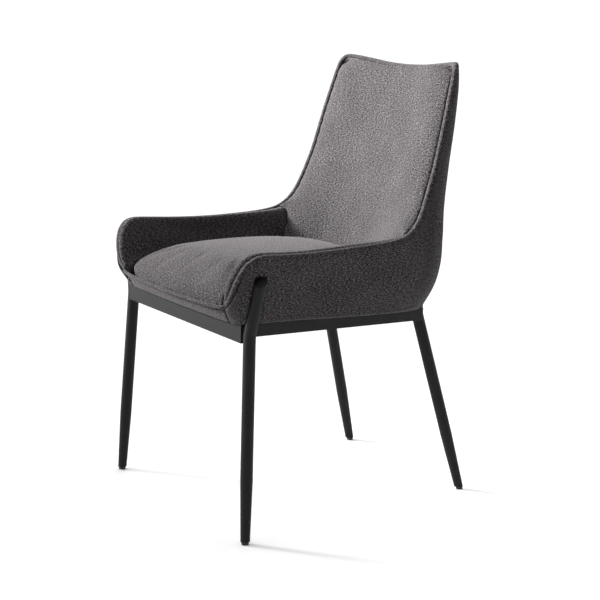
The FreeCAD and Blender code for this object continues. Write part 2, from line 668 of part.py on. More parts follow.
def build_shell(keep_clear):
    """Boards, foam and covers inside one envelope."""
    rim = side_view(0).common(front_view(0))
    above_frame = slab(GAP, FAR)
    skirt = slab(-SKIRT, FAR)
    board_in = COVER + GAP
    foam_in = board_in + BOARD + GAP

    wall = layer(0, COVER).common(rim).common(skirt)
    for body in keep_clear:
        wall = wall.cut(body)
    low_front = half_space(-CORNER_SEAM_X + GAP, CORNER_SEAM_X - GAP, -FAR, FRONT_ZONE_Y, LOW,
                           WELT_HEIGHT - GAP)
    save("front_boxing", largest(wall.common(low_front)))
    rear_part = half_space(-BACK_SEAM_X + GAP, BACK_SEAM_X - GAP, 0.0, FAR)
    save("outer_back_cover", largest(wall.common(rear_part).common(above_frame)))
    right = wall.common(half_space(BACK_SEAM_X, FAR)).cut(half_space(0, CORNER_SEAM_X, -FAR, FRONT_ZONE_Y))
    save_pair("side_cover", largest(right.cut(welt(WELT_RADIUS + GAP))))

    board_rim = side_view(-BOARD_DROP).common(front_view(-BOARD_DROP))
    boards = layer(board_in, board_in + BOARD).common(board_rim).common(above_frame)
    for body in keep_clear:
        boards = boards.cut(body)
    back_board = boards.common(rear_part)
    for screw in board_screws():
        back_board = back_board.cut(screw)
    save("back_board", largest(back_board))
    side_board = boards.common(half_space(BACK_SEAM_X, FAR))
    side_board = side_board.cut(half_space(0, FAR, -FAR, SIDE_BOARD_FRONT_Y))
    save_pair("side_board", largest(side_board))

    seat_room = tub(foam_in)
    board = seat_room.common(slab(GAP, SEAT_BOARD_THICKNESS))
    board = board.cut(half_space(-FAR, FAR, -FAR, SEAT_BOARD_FRONT_Y))
    for body in keep_clear + barrel_holes():
        board = board.cut(body)
    save("seat_board", largest(board))

    save("corner_blocks", group(corner_blocks(seat_room)))
    save("board_screws", group(board_screws()))
    above_board = slab(SEAT_BOARD_THICKNESS + GAP, FAR)
    build_pads(seat_room.common(rim).common(above_board))
    build_seat(above_board)
    build_trim()


def barrel_holes():
    """Holes in the seat board for the tee nuts' barrels."""
    radius = TEE_BARREL_RADIUS + THREAD_PLAY
    length = SEAT_BOARD_THICKNESS + 2 * HOLE_REACH
    return [Part.makeCylinder(radius, length, p - FRAME_UP * HOLE_REACH, FRAME_UP) for p in tab_points()]


def block_room(play):
    """Upright space that the right-hand corner block stands in."""
    low = frame_top(BLOCK_FRONT_Y) + SEAT_BOARD_THICKNESS + GAP
    high = low + BLOCK_HEIGHT
    return half_space(BLOCK_INNER_X - play, FAR, BLOCK_FRONT_Y - play, FAR, low - play, high + play)


def corner_blocks(seat_room):
    """Glue blocks in the rear corners, shaped to the boards and drilled for their screws."""
    block = seat_room.common(block_room(0))
    for screw in board_screws():
        block = block.cut(screw)
    block = largest(block)
    return [block, mirrored(block)]


def board_screws():
    """Countersunk screws through the back board into the corner blocks."""
    screws = []
    x = BLOCK_INNER_X + BLOCK_SCREW_INSET
    for share in BLOCK_SCREW_SHARES:
        z = frame_top(BLOCK_FRONT_Y) + SEAT_BOARD_THICKNESS + BLOCK_HEIGHT * share
        y = rear_face(z) - COVER - GAP
        neck = V(x, y - SCREW_HEAD_HEIGHT, z)
        head = Part.makeCone(SCREW_HEAD_RADIUS, SCREW_RADIUS, SCREW_HEAD_HEIGHT, V(x, y, z), V(0, -1, 0))
        shank = Part.makeCylinder(SCREW_RADIUS, SCREW_LENGTH, neck, V(0, -1, 0))
        screw = head.fuse(shank).removeSplitter()
        screws += [screw, mirrored(screw)]
    return screws


def rear_face(z):
    """Rear face of the shell at a height between two levels."""
    for low, high in zip(SHELL_LEVELS, SHELL_LEVELS[1:]):
        if low[0] <= z <= high[0]:
            share = (z - low[0]) / (high[0] - low[0])
            return low[4] + (high[4] - low[4]) * share
    return SHELL_LEVELS[-1][4]


def build_pads(room):
    """Foam and cloth of the inner back and the inner arms."""
    foam_face = sitter_space(CLOTH + GAP)
    foam = room.cut(foam_face)
    cloth = room.common(sitter_space(CLOTH)).cut(sitter_space(0))
    seat_hole = seat_block(-GAP)
    back = seam_prism()
    blocks = [block_room(GAP), mirrored(block_room(GAP))]
    back_foam = foam.common(back).cut(seat_hole)
    side = half_space(ARM_PAD_INNER_X, FAR, ARM_PAD_FRONT_Y, FAR)
    arm_foam = foam.common(side).cut(back).cut(seat_hole)
    arm_cloth = cloth.common(side).cut(back).cut(seat_hole)
    for piece in blocks + flange_rooms():
        arm_foam = arm_foam.cut(piece)
        arm_cloth = arm_cloth.cut(piece)
        back_foam = back_foam.cut(piece)
    save("back_foam", largest(back_foam))
    save("inner_back_cover", largest(cloth.common(back).cut(seat_hole)))
    save_pair("arm_foam", largest(arm_foam))
    save_pair("inner_arm_cover", largest(arm_cloth))


def flange_rooms():
    """Space over the seat board for the tee nuts' flanges."""
    rooms = []
    for point in tab_points():
        base = point + FRAME_UP * SEAT_BOARD_THICKNESS
        rooms.append(Part.makeCylinder(TEE_FLANGE_RADIUS + GAP, FLANGE_ROOM, base, FRAME_UP))
    return rooms


def welt(radius):
    """Round cord along the front seam, from corner to corner."""
    middle = V(0, WELT_FRONT_Y, WELT_HEIGHT + WELT_RADIUS)
    right = V(WELT_END_X, WELT_END_Y, WELT_END_HEIGHT)
    left = V(-WELT_END_X, WELT_END_Y, WELT_END_HEIGHT)
    arc = Part.Arc(right, middle, left)
    ring = Part.Wire(Part.makeCircle(radius, right, arc.tangent(0)[0]))
    return Part.Wire(arc.toShape()).makePipeShell([ring], True, True)


def build_seat(above_board):
    """Seat foam, its top panel and the welt."""
    foam = seat_block(CLOTH + GAP).common(above_board).common(tub(COVER + GAP))
    for room in flange_rooms():
        foam = foam.cut(room)
    save("seat_foam", largest(foam.cut(welt(WELT_RADIUS + GAP))))
    top = seat_block(0).cut(seat_block(CLOTH)).cut(welt(WELT_RADIUS + GAP))
    save("seat_cover", largest(top.common(half_space(-FAR, FAR, z_low=WELT_HEIGHT + GAP))))
    save("front_welt", welt(WELT_RADIUS))


def build_trim():
    """Edge band, dust cover and staples."""
    raised = side_view(BAND_PROUD).common(front_view(BAND_PROUD))
    resting = side_view(GAP).common(front_view(GAP))
    above_welt = half_space(-FAR, FAR, z_low=WELT_END_HEIGHT)
    strip = layer(0, BAND_WIDTH).common(raised).cut(resting).common(above_welt)
    strip = strip.cut(half_space(-WELT_END_X, WELT_END_X, -FAR, FRONT_ZONE_Y))
    save("edge_band", largest(strip))
    y_front = FRONT_RAIL_FACE_Y + RAIL_DEPTH + DUST_COVER_FRONT_INSET
    y_rear = rear_leg_at_frame().y - RAIL_DEPTH / 2 - DUST_COVER_REAR_INSET
    save("dust_cover", dust_cover(y_front, y_rear))
    save("staples", group(staples(y_front + STAPLE_INSET, y_rear - STAPLE_INSET)))


def dust_cover(y_front, y_rear):
    """Lining under the seat board, cut out round the seat tabs."""
    start, end = side_rail_line()
    inset = RAIL_DEPTH + DUST_COVER_SIDE_INSET
    plan = [V(inset - start.x, y_front, LOW), V(start.x - inset, y_front, LOW),
            V(end.x - inset, y_rear, LOW), V(inset - end.x, y_rear, LOW)]
    sheet = Part.Face(Part.makePolygon(plan + [plan[0]])).extrude(V(0, 0, FAR))
    sheet = sheet.common(slab(-DUST_COVER_THICKNESS, 0))
    for point in tab_points():
        sheet = sheet.cut(tab_room(point))
    return largest(sheet)


def tab_room(point):
    """Block round a seat tab, open towards its rail."""
    side = 1 if point.x > 0 else -1
    inner_x = point.x - side * (TAB_WIDTH / 2 + TAB_PLAY)
    x = min(inner_x, inner_x + side * CUTTER)
    low = V(x, point.y - TAB_LENGTH / 2 - TAB_PLAY, point.z - HOLE_REACH)
    return Part.makeBox(CUTTER, TAB_LENGTH + 2 * TAB_PLAY, 2 * HOLE_REACH, low)


def staples(y_front, y_rear):
    """Staple crowns under the dust cover, along its front and rear edges."""
    pieces = []
    count = int(STAPLE_RUN / STAPLE_PITCH)
    for y in (y_front, y_rear):
        z = frame_top(y) - DUST_COVER_THICKNESS - STAPLE_WIRE - STAPLE_PLAY
        for index in range(count + 1):
            x = (index - count / 2) * STAPLE_PITCH
            pieces.append(Part.makeBox(STAPLE_WIDTH, STAPLE_WIRE, STAPLE_WIRE, V(x - STAPLE_WIDTH / 2, y, z)))
    return pieces


def main():
    """Write every node."""
    os.makedirs("parts", exist_ok=True)
    keep_clear = build_frame()
    build_shell(keep_clear)


main()
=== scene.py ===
import math

import bmesh
import bpy
import numpy as np
from mathutils import Matrix, Vector
from mathutils.bvhtree import BVHTree


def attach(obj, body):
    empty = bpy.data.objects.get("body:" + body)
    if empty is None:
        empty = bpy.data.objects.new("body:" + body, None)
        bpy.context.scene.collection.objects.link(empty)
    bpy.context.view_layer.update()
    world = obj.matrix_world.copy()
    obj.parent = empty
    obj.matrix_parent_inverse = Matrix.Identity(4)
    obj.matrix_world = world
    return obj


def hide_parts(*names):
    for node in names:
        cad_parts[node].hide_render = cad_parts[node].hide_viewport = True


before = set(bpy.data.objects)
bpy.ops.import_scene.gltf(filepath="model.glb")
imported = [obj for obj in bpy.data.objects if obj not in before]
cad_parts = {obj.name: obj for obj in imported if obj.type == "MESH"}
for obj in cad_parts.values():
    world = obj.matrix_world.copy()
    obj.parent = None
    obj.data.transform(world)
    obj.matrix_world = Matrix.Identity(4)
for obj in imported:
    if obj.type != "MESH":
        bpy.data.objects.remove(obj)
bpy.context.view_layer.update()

bl_info = {
    "name": "Dining Chair",
    "version": (1, 0, 0),
    "blender": (4, 5, 0),
    "location": "3D View > Sidebar > Chair",
    "description": "Upholstery, trim and finishes of a steel-legged dining chair",
    "category": "Object",
}

# Lengths in the tables are millimetres from midway between the front and the rear feet.
MM = 0.001
SHIFT_Y = 6.07

# ---- rim of the shell, right half, from the welt's end over the arm and up to the top's middle:
# a point of the edge band's middle line, and the way the band faces there
RIM_ROWS = [
    (214.0, -289.0, 451.0, 0.0, -1.0, 0.1),
    (230.0, -291.0, 462.0, 0.0, -1.0, 0.1),
    (243.0, -290.5, 480.0, 0.0, -1.0, 0.15),
    (252.0, -288.0, 498.0, 0.0, -1.0, 0.25),
    (259.0, -283.5, 514.0, 0.0, -0.9, 0.43),
    (264.5, -276.0, 529.0, 0.0, -0.75, 0.66),
    (269.0, -265.0, 540.0, 0.0, -0.5, 0.87),
    (271.0, -252.0, 545.5, 0.0, -0.2, 0.98),
    (271.5, -235.0, 547.0, 0.0, 0.0, 1.0),
    (269.5, -200.0, 545.0, 0.0, 0.0, 1.0),
    (264.0, -153.0, 542.5, 0.0, 0.0, 1.0),
    (257.5, -110.0, 541.5, 0.0, 0.0, 1.0),
    (252.0, -68.0, 541.5, 0.0, 0.0, 1.0),
    (249.0, -28.0, 542.5, 0.0, 0.0, 1.0),
    (247.5, 20.0, 544.0, 0.0, -0.05, 1.0),
    (246.5, 66.0, 547.5, 0.0, -0.15, 1.0),
    (244.5, 98.0, 555.0, 0.0, -0.35, 0.94),
    (241.0, 121.0, 570.0, 0.0, -0.65, 0.76),
    (237.0, 138.0, 591.0, 0.0, -0.85, 0.53),
    (233.0, 151.0, 617.0, 0.0, -0.93, 0.36),
    (229.5, 164.0, 648.0, 0.0, -0.95, 0.31),
    (226.5, 176.5, 681.0, 0.0, -0.953, 0.302),
    (223.5, 189.0, 722.0, 0.0, -0.953, 0.302),
    (220.5, 201.5, 765.0, 0.0, -0.953, 0.302),
    (216.0, 213.5, 805.0, 0.0, -0.953, 0.302),
    (211.0, 225.5, 845.0, 0.0, -0.953, 0.302),
    (207.0, 233.0, 868.0, 0.0, -0.93, 0.37),
    (203.0, 238.5, 878.0, 0.0, -0.8, 0.6),
    (196.0, 243.5, 884.0, 0.0, -0.55, 0.83),
    (186.0, 248.5, 885.0, 0.0, -0.35, 0.94),
    (160.0, 255.5, 883.0, 0.0, -0.3, 0.95),
    (115.0, 261.5, 878.5, 0.0, -0.3, 0.95),
    (60.0, 265.5, 873.5, 0.0, -0.3, 0.95),
    (0.0, 267.0, 871.5, 0.0, -0.3, 0.95),
]
RIM_ARM_SEAM_ROW = 16
RIM_TOP_CORNER_ROW = 28
RIM_BACK_SEAM_ROW = 29

# ---- outside of the shell: height, half width in front and behind, front and rear face, corner radii
SHELL_LEVELS = [
    (385.0, 248.0, 197.0, -266.0, 156.0, 50.0, 30.0),
    (414.0, 250.0, 211.0, -275.0, 170.0, 50.0, 32.0),
    (450.0, 253.0, 226.0, -291.0, 182.0, 48.0, 34.0),
    (490.0, 259.0, 237.0, -297.0, 190.0, 44.0, 36.0),
    (545.0, 275.0, 248.0, -298.0, 195.0, 36.0, 40.0),
    (600.0, 272.0, 242.0, -298.0, 205.0, 36.0, 42.0),
    (680.0, 262.0, 232.0, -298.0, 224.0, 36.0, 40.0),
    (780.0, 252.0, 224.0, -298.0, 246.0, 36.0, 36.0),
    (850.0, 244.0, 216.0, -298.0, 258.0, 36.0, 32.0),
    (910.0, 238.0, 207.0, -298.0, 262.0, 36.0, 30.0),
]
REAR_BULGE = 12.0

# ---- lower edge of the covers, right half, from the front corner seam to the rear seam
HEM_ROWS = [
    (205.0, -274.0, 413.0),
    (222.0, -273.0, 413.5),
    (238.0, -266.0, 415.0),
    (247.0, -252.0, 416.5),
    (250.0, -228.0, 417.0),
    (247.5, -180.0, 416.0),
    (239.5, -74.0, 409.0),
    (232.5, 0.0, 404.0),
    (224.5, 80.0, 399.5),
    (219.5, 122.0, 397.5),
    (214.0, 144.0, 396.5),
    (203.0, 165.0, 395.5),
    (188.0, 171.5, 395.0),
    (177.0, 173.5, 394.5),
]
# each rib of a side cover: row of the rim, row of the hem
RIBS = [(0, 0), (2, 1), (4, 2), (6, 3), (8, 4), (9, 5), (12, 6.2), (14, 7.2), (16, 8.1), (18, 8.7),
        (21, 9.3), (25, 10.0), (27, 11.0), (28, 12.0), (29, 13)]

# ---- crease between the seat cushion and the inner arm, right half
CREASE_ROWS = [
    (208.0, -287.0, 453.0),
    (212.0, -272.0, 461.0),
    (213.0, -245.0, 469.0),
    (210.0, -200.0, 474.0),
    (204.0, -130.0, 477.0),
    (197.5, -60.0, 479.0),
    (191.0, 10.0, 481.0),
    (188.0, 60.0, 483.0),
    (190.0, 88.0, 485.0),
]
# ---- seam between inner arm and inner back, from below the seat up to the rim
ARM_SEAM_ROWS = [
    (188.0, 84.0, 448.0),
    (191.0, 89.0, 484.0),
    (197.0, 95.0, 510.0),
    (206.0, 100.0, 532.0),
    (220.0, 104.0, 549.0),
]
# ---- middle line of the inner back, from below the seat up to the rim
BACK_MIDDLE_ROWS = [
    (0.0, 128.0, 448.0),
    (0.0, 144.0, 490.0),
    (0.0, 164.0, 550.0),
    (0.0, 183.0, 610.0),
    (0.0, 206.0, 680.0),
    (0.0, 229.0, 750.0),
    (0.0, 247.0, 815.0),
    (0.0, 259.0, 855.0),
]

# where the inner pads' border lies under the edge band, and where the outer covers' border lies
SEAM_OUT, SEAM_UP = -6.6, -2.4
COVER_OUT, COVER_UP = 6.0, -1.2
# share of a line's length between the two points that give its direction
LOOK_AHEAD = 0.004
TURN_STEPS = 60
MIRROR = np.array([-1.0, 1.0, 1.0])


def unit(v):
    """The same direction with length one."""
    return v / np.linalg.norm(v)


def smooth_rows(rows, per_span=16):
    """Rows along a smooth curve through the given rows."""
    rows = np.array(rows, float)
    ends = np.vstack([rows[0] * 2 - rows[1], rows, rows[-1] * 2 - rows[-2]])
    line = []
    for a, b, c, d in zip(ends, ends[1:], ends[2:], ends[3:]):
        for t in np.arange(per_span) / per_span:
            line.append(0.5 * (2 * b + (c - a) * t + (2 * a - 5 * b + 4 * c - d) * t ** 2
                               + (3 * b - a - 3 * c + d) * t ** 3))
    return np.vstack([line, rows[-1]])


class Track:
    """Smooth curve through rows, read by the share of its length or by the row's number."""

    def __init__(self, rows, per_span=16):
        self.dense = smooth_rows(rows, per_span)
        steps = np.linalg.norm(np.diff(self.dense[:, :3], axis=0), axis=1)
        self.far = np.concatenate([[0.0], np.cumsum(steps)])
        self.length = self.far[-1]
        self.per_span = per_span

    def at(self, share):
        """The row at a share of the length."""
        distance = min(max(share, 0.0), 1.0) * self.length
        return np.array([np.interp(distance, self.far, column) for column in self.dense.T])

    def share_of(self, row):
        """The share of the length at a row's number."""
        return float(np.interp(row * self.per_span, np.arange(len(self.far)), self.far)) / self.length


RIM = Track(RIM_ROWS)
HEM = Track(HEM_ROWS)
CREASE = Track(CREASE_ROWS)
ARM_SEAM_SHARE = RIM.share_of(RIM_ARM_SEAM_ROW)
CORNER_SHARE = RIM.share_of(RIM_TOP_CORNER_ROW)
BACK_SEAM_SHARE = RIM.share_of(RIM_BACK_SEAM_ROW)


def rim_place(share, outward, up):
    """A point beside the rim: outward across the band and up off its face, in millimetres."""
    here = RIM.at(share)
    tangent = unit(RIM.at(share + LOOK_AHEAD)[:3] - RIM.at(share - LOOK_AHEAD)[:3])
    out = unit(np.cross(tangent, here[3:]))
    face = np.cross(out, tangent)
    return here[:3] + out * outward + face * up


LEVELS = np.array(SHELL_LEVELS)
LEVEL_SLOPES = np.gradient(LEVELS[:, 1:], LEVELS[:, 0], axis=0)


def level_at(z):
    """Values of the shell's section at a height, smooth between the levels."""
    k = int(np.clip(np.searchsorted(LEVELS[:, 0], z) - 1, 0, len(LEVELS) - 2))
    low, high = LEVELS[k], LEVELS[k + 1]
    span = high[0] - low[0]
    t = (z - low[0]) / span
    a, b = (1 + 2 * t) * (1 - t) ** 2, t * (1 - t) ** 2
    c, d = t * t * (3 - 2 * t), t * t * (t - 1)
    return a * low[1:] + b * span * LEVEL_SLOPES[k] + c * high[1:] + d * span * LEVEL_SLOPES[k + 1]


def shell_place(t, z):
    """Point of the shell's outside: t runs 0 to 5 over front, front corner, side, rear corner and rear."""
    front_half, rear_half, near, rear, rf, rr = level_at(z)
    if t < 1:
        return np.array([t * (front_half - rf), near, z])
    if t < 2:
        a = math.radians(90 * (t - 2))
        return np.array([front_half - rf + rf * math.cos(a), near + rf + rf * math.sin(a), z])
    if t < 3:
        k = t - 2
        y = near + rf + (rear - rr - near - rf) * k
        return np.array([front_half + (rear_half - front_half) * k, y, z])
    if t < 4:
        a = math.radians(90 * (t - 3))
        return np.array([rear_half - rr + rr * math.cos(a), rear - rr + rr * math.sin(a), z])
    k = 5 - t
    return np.array([k * (rear_half - rr), rear + REAR_BULGE * (1 - k * k), z])


def nearest_turn(point, low=0.0, high=5.0):
    """The t at which the shell's section comes nearest to a point of the same height."""
    for _ in range(3):
        ts = np.linspace(low, high, TURN_STEPS + 1)
        gaps = [np.linalg.norm(shell_place(t, point[2]) - point) for t in ts]
        best = int(np.argmin(gaps))
        low, high = ts[max(best - 1, 0)], ts[min(best + 1, TURN_STEPS)]
    return 0.5 * (low + high)


def both_sides(points):
    """Points of the right half, then their mirror images."""
    return points + [p * MIRROR for p in points]


def rib_point(foot, foot_t, head, head_t, w):
    """Point of a cover's rib between its hem and the rim, lying on the shell in between."""
    z = foot[2] + (head[2] - foot[2]) * w
    t = foot_t + (head_t - foot_t) * w
    point = shell_place(t, z)
    point += (foot - shell_place(foot_t, foot[2])) * (1 - w) ** 2
    return point + (head - shell_place(head_t, head[2])) * w ** 2


# ---------------------------------------------------------------- mesh tools
# grid of each piece: faces across and along
GRIDS = {
    "side": (150, 48), "back": (80, 80), "boxing": (120, 14), "band": (560, 30), "welt": (220, 16),
    "lining": (60, 120), "arm": (110, 44), "back pad": (96, 110), "seat": (84, 84),
}
BORDER_REACH = 5.0


def sheet_mesh(grid, place):
    """Grid whose vertices are set by place(u, w), each from 0 to 1; its UVs hold metres of cloth."""
    across, along = grid
    bm = bmesh.new()
    bmesh.ops.create_grid(bm, x_segments=across, y_segments=along, size=1.0)
    bm.verts.ensure_lookup_table()
    order = sorted(bm.verts, key=lambda v: (round(v.co.y, 5), round(v.co.x, 5)))
    columns, rows = across + 1, along + 1
    points = np.empty((rows, columns, 3))
    for i, v in enumerate(order):
        row, column = divmod(i, columns)
        points[row, column] = place(column / across, row / along)
    flat = points.reshape(-1, 3)
    wide = np.linalg.norm(np.diff(points, axis=1), axis=2)
    tall = np.linalg.norm(np.diff(points, axis=0), axis=2)
    us = np.hstack([np.zeros((rows, 1)), np.cumsum(wide, axis=1)])
    us -= us[:, columns // 2][:, None]
    vs = np.vstack([np.zeros((1, columns)), np.cumsum(tall, axis=0)])
    vs -= vs[rows // 2][None, :]
    layer = bm.loops.layers.uv.new("cloth")
    number = {v: i for i, v in enumerate(order)}
    for v in order:
        v.co = flat[number[v]]
    for face in bm.faces:
        for loop in face.loops:
            row, column = divmod(number[loop.vert], columns)
            loop[layer].uv = (us[row, column] * MM, vs[row, column] * MM)
    return bm


def to_frame(bm):
    """From the tables' millimetres to the frame's metres."""
    bmesh.ops.translate(bm, verts=bm.verts, vec=(0, SHIFT_Y, 0))
    bmesh.ops.scale(bm, verts=bm.verts, vec=(MM, MM, MM))


def mirrored_copy(bm):
    """The same mesh on the chair's left side."""
    other = bm.copy()
    bmesh.ops.scale(other, verts=other.verts, vec=(-1, 1, 1))
    bmesh.ops.reverse_faces(other, faces=other.faces)
    return other


def finish_piece(name, bm, material, nodes):
    """Put a mesh in the scene as one smooth piece that rides on the frame and stands for CAD nodes."""
    to_frame(bm)
    mesh = bpy.data.meshes.new(name)
    bm.to_mesh(mesh)
    bm.free()
    piece = bpy.data.objects.new(name, mesh)
    bpy.context.scene.collection.objects.link(piece)
    for polygon in mesh.polygons:
        polygon.use_smooth = True
    mesh.materials.append(material)
    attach(piece, "root")
    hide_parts(*nodes)
    return piece


def face_outwards(bm, towards):
    """Turn an open sheet so that it faces along a direction on average."""
    bm.normal_update()
    total = Vector((0, 0, 0))
    for face in bm.faces:
        total += face.normal * face.calc_area()
    if total.dot(Vector(towards)) < 0:
        bmesh.ops.reverse_faces(bm, faces=bm.faces)


def thicken(piece, thickness, offset=-1.0):
    """Give a sheet its wall, inwards unless the offset is 1."""
    wall = piece.modifiers.new("wall", "SOLIDIFY")
    wall.thickness = thickness
    wall.offset = offset


def push(bm, amount):
    """Move every vertex along its normal by amount(vertex), all of them worked out first."""
    bm.normal_update()
    moves = [(v, v.normal * amount(v)) for v in bm.verts]
    for v, move in moves:
        v.co += move


def gap_from(points):
    """Function that gives a vertex's distance from the nearest of some points."""
    points = np.array(points)
    return lambda v: float(np.min(np.linalg.norm(points - np.array(v.co), axis=1)))


def roll(gap, reach):
    """Quarter round: 0 at the seam, 1 from the reach inwards."""
    k = min(max(gap / reach, 0.0), 1.0)
    return math.sqrt(1 - (1 - k) ** 2)


def swell(bm, seam, height, reach):
    """Raise a pad's face above its sewn border by a quarter round."""
    gap = gap_from(seam)
    push(bm, lambda v: height * roll(gap(v), reach))


def tuck(bm, seam, depth, reach):
    """Sink a sewn border into its seam by a quarter round."""
    gap = gap_from(seam)
    push(bm, lambda v: -depth * (1 - roll(gap(v), reach)))


def turn_border(bm, depth):
    """Round a sheet's whole border inwards, as at a sewn seam."""
    tuck(bm, [tuple(v.co) for v in bm.verts if v.is_boundary], depth, BORDER_REACH)


# ---------------------------------------------------------------- leg clearance
# middle lines of the right-hand legs' stubs, and the room that each takes round its line
STUBS = (((245.3, -255.5, 397.0), (273.0, -248.0, 512.0)), ((174.2, 177.0, 391.0), (163.0, 215.5, 515.0)))
STUB_ROOM = 12.3
STUB_FOOT = -5.0


def clear_of_stubs(bm, direction):
    """Press the cover in where a leg's stub stands against it."""
    for low, high in np.array(STUBS):
        axis = unit(high - low)
        inward = unit(np.array(direction) - axis * (np.array(direction) @ axis))
        for v in bm.verts:
            p = np.array((abs(v.co.x), v.co.y, v.co.z))
            along = (p - low) @ axis
            off = p - low - axis * along
            if not STUB_FOOT < along < np.linalg.norm(high - low) or np.linalg.norm(off) >= STUB_ROOM:
                continue
            side = off - inward * (off @ inward)
            depth = math.sqrt(max(STUB_ROOM ** 2 - side @ side, 0.0))
            p = p + inward * (depth - off @ inward)
            v.co = (math.copysign(p[0], v.co.x), p[1], p[2])


# ---------------------------------------------------------------- board clearance
BOARD_NODES = ("back_board", "left_side_board", "right_side_board", "seat_board")
BOARD_DEEP = 16.0
BOARD_COVER = 1.2
RAY_STEP = 0.01
BOARD_TREES = []


def board_trees():
    """Search trees of the wooden boards in the tables' millimetres, made once."""
    if not BOARD_TREES:
        for name in BOARD_NODES:
            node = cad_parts[name]
            bm = bmesh.new()
            bm.from_mesh(node.data)
            bmesh.ops.transform(bm, matrix=node.matrix_world, verts=bm.verts)
            bmesh.ops.scale(bm, vec=(1 / MM, 1 / MM, 1 / MM), verts=bm.verts)
            bmesh.ops.translate(bm, vec=(0, -SHIFT_Y, 0), verts=bm.verts)
            BOARD_TREES.append(BVHTree.FromBMesh(bm))
            bm.free()
    return BOARD_TREES


def depth_under(tree, point, normal):
    """How far along the normal a point has to go to come out of a board, 0 where it is clear."""
    depth, start, left = 0.0, point.copy(), BOARD_DEEP
    while left > 0:
        hit, _, _, far = tree.ray_cast(start, normal, left)
        if hit is None:
            break
        depth = max(depth, (hit - point).dot(normal))
        start, left = hit + normal * RAY_STEP, left - far - RAY_STEP
    return depth


def lie_over_boards(bm):
    """Lift every point of a sheet that lies in or just under a board to just above the board."""
    def lift(v):
        depth = max(depth_under(tree, v.co, v.normal) for tree in board_trees())
        return depth + BOARD_COVER if depth > 0 else 0.0

    push(bm, lift)


# ---------------------------------------------------------------- covers
COVER_WALL = 0.0025
COVER_TURN = 3.2
BOXING_TURN = 3.0
# ways in which the leg stubs press the side covers and the outer back
SIDE_PRESS = (-0.9, 0.1, 0.0)
BACK_PRESS = (0.0, -1.0, 0.0)
# padding behind the side cover: its lower edge, rise and upper end, then its fullest place and spread
PUFF_LOW, PUFF_RISE, PUFF_TOP = 412.0, 128.0, 545.0
PUFF_Y, PUFF_SPREAD = -245.0, 62.0
PUFF_ALL, PUFF_FRONT = 3.0, 6.5
# hem of the outer back: half width, depth at the seams, bow towards the rear, height
REAR_HEM_HALF, REAR_HEM_Y, REAR_HEM_BOW, REAR_HEM_Z = 177.0, 173.5, 3.0, 394.5
# foot of the boxing: half width, depth and height at its ends, and the bows of both in the middle
BOXING_HALF, BOXING_Y, BOXING_Z = 205.0, -274.0, 413.0
BOXING_BOW_Y, BOXING_BOW_Z = 1.5, 1.0
BOXING_BELLY = 2.5
BOXING_UNDER_WELT = np.array([0.0, 6.5, -2.0])
WELT_END = 0.02
WELT_RADIUS = 3.4
WELT_ROWS = [
    (-216.0, -290.0, 452.5),
    (-206.0, -293.5, 447.5),
    (-185.0, -296.5, 446.0),
    (-120.0, -299.0, 444.0),
    (0.0, -300.5, 443.0),
    (120.0, -299.0, 444.0),
    (185.0, -296.5, 446.0),
    (206.0, -293.5, 447.5),
    (216.0, -290.0, 452.5),
]
WELT = Track(WELT_ROWS)


def side_rib(u):
    """Foot and head of the rib at a share of the side cover's run."""
    place = u * (len(RIBS) - 1)
    k = min(int(place), len(RIBS) - 2)
    t = place - k
    rim_row = RIBS[k][0] + (RIBS[k + 1][0] - RIBS[k][0]) * t
    hem_row = RIBS[k][1] + (RIBS[k + 1][1] - RIBS[k][1]) * t
    return HEM.at(HEM.share_of(hem_row)), rim_place(RIM.share_of(rim_row), COVER_OUT, COVER_UP)


def cover_place(rib):
    """Place function of a cover made of ribs, each worked out once."""
    store = {}

    def place(u, w):
        if u not in store:
            foot, head = rib(u)
            store[u] = foot, nearest_turn(foot), head, nearest_turn(head)
        foot, foot_t, head, head_t = store[u]
        return rib_point(foot, foot_t, head, head_t, w)

    return place


def side_puff(v):
    """Padding under a point of the side cover: full round the front stub, slight further back."""
    if v.co.z >= PUFF_TOP:
        return 0.0
    height = min(max((v.co.z - PUFF_LOW) / PUFF_RISE, 0.0), 1.0)
    near = math.exp(-((v.co.y - PUFF_Y) / PUFF_SPREAD) ** 2)
    return math.sin(math.pi * height) * (PUFF_ALL + PUFF_FRONT * near)


def build_side_covers(material):
    """Outer side covers, from the front corner seam round the side to the rear seam."""
    bm = sheet_mesh(GRIDS["side"], cover_place(side_rib))
    face_outwards(bm, (1, 0, 0))
    push(bm, side_puff)
    turn_border(bm, COVER_TURN)
    lie_over_boards(bm)
    clear_of_stubs(bm, SIDE_PRESS)
    for side, mesh in (("right", bm), ("left", mirrored_copy(bm))):
        piece = finish_piece(f"side_cover_{side}", mesh, material, [f"{side}_side_cover"])
        thicken(piece, COVER_WALL)


def back_rib(u):
    """Foot and head of the rib at a share of the right half of the outer back, seam to middle."""
    x = REAR_HEM_HALF * (1 - u)
    foot = np.array([x, REAR_HEM_Y + REAR_HEM_BOW * (1 - (x / REAR_HEM_HALF) ** 2), REAR_HEM_Z])
    share = BACK_SEAM_SHARE + (1 - BACK_SEAM_SHARE) * u
    return foot, rim_place(share, COVER_OUT, COVER_UP)


def build_outer_back(material):
    """Outer back cover between the two rear seams."""
    half = cover_place(back_rib)

    def place(u, w):
        point = half(1 - abs(2 * u - 1), w).copy()
        point[0] = math.copysign(point[0], 0.5 - u)
        return point

    bm = sheet_mesh(GRIDS["back"], place)
    face_outwards(bm, (0, 1, 0))
    turn_border(bm, COVER_TURN)
    lie_over_boards(bm)
    clear_of_stubs(bm, BACK_PRESS)
    piece = finish_piece("outer_back_cover_cloth", bm, material, ["outer_back_cover"])
    thicken(piece, COVER_WALL)


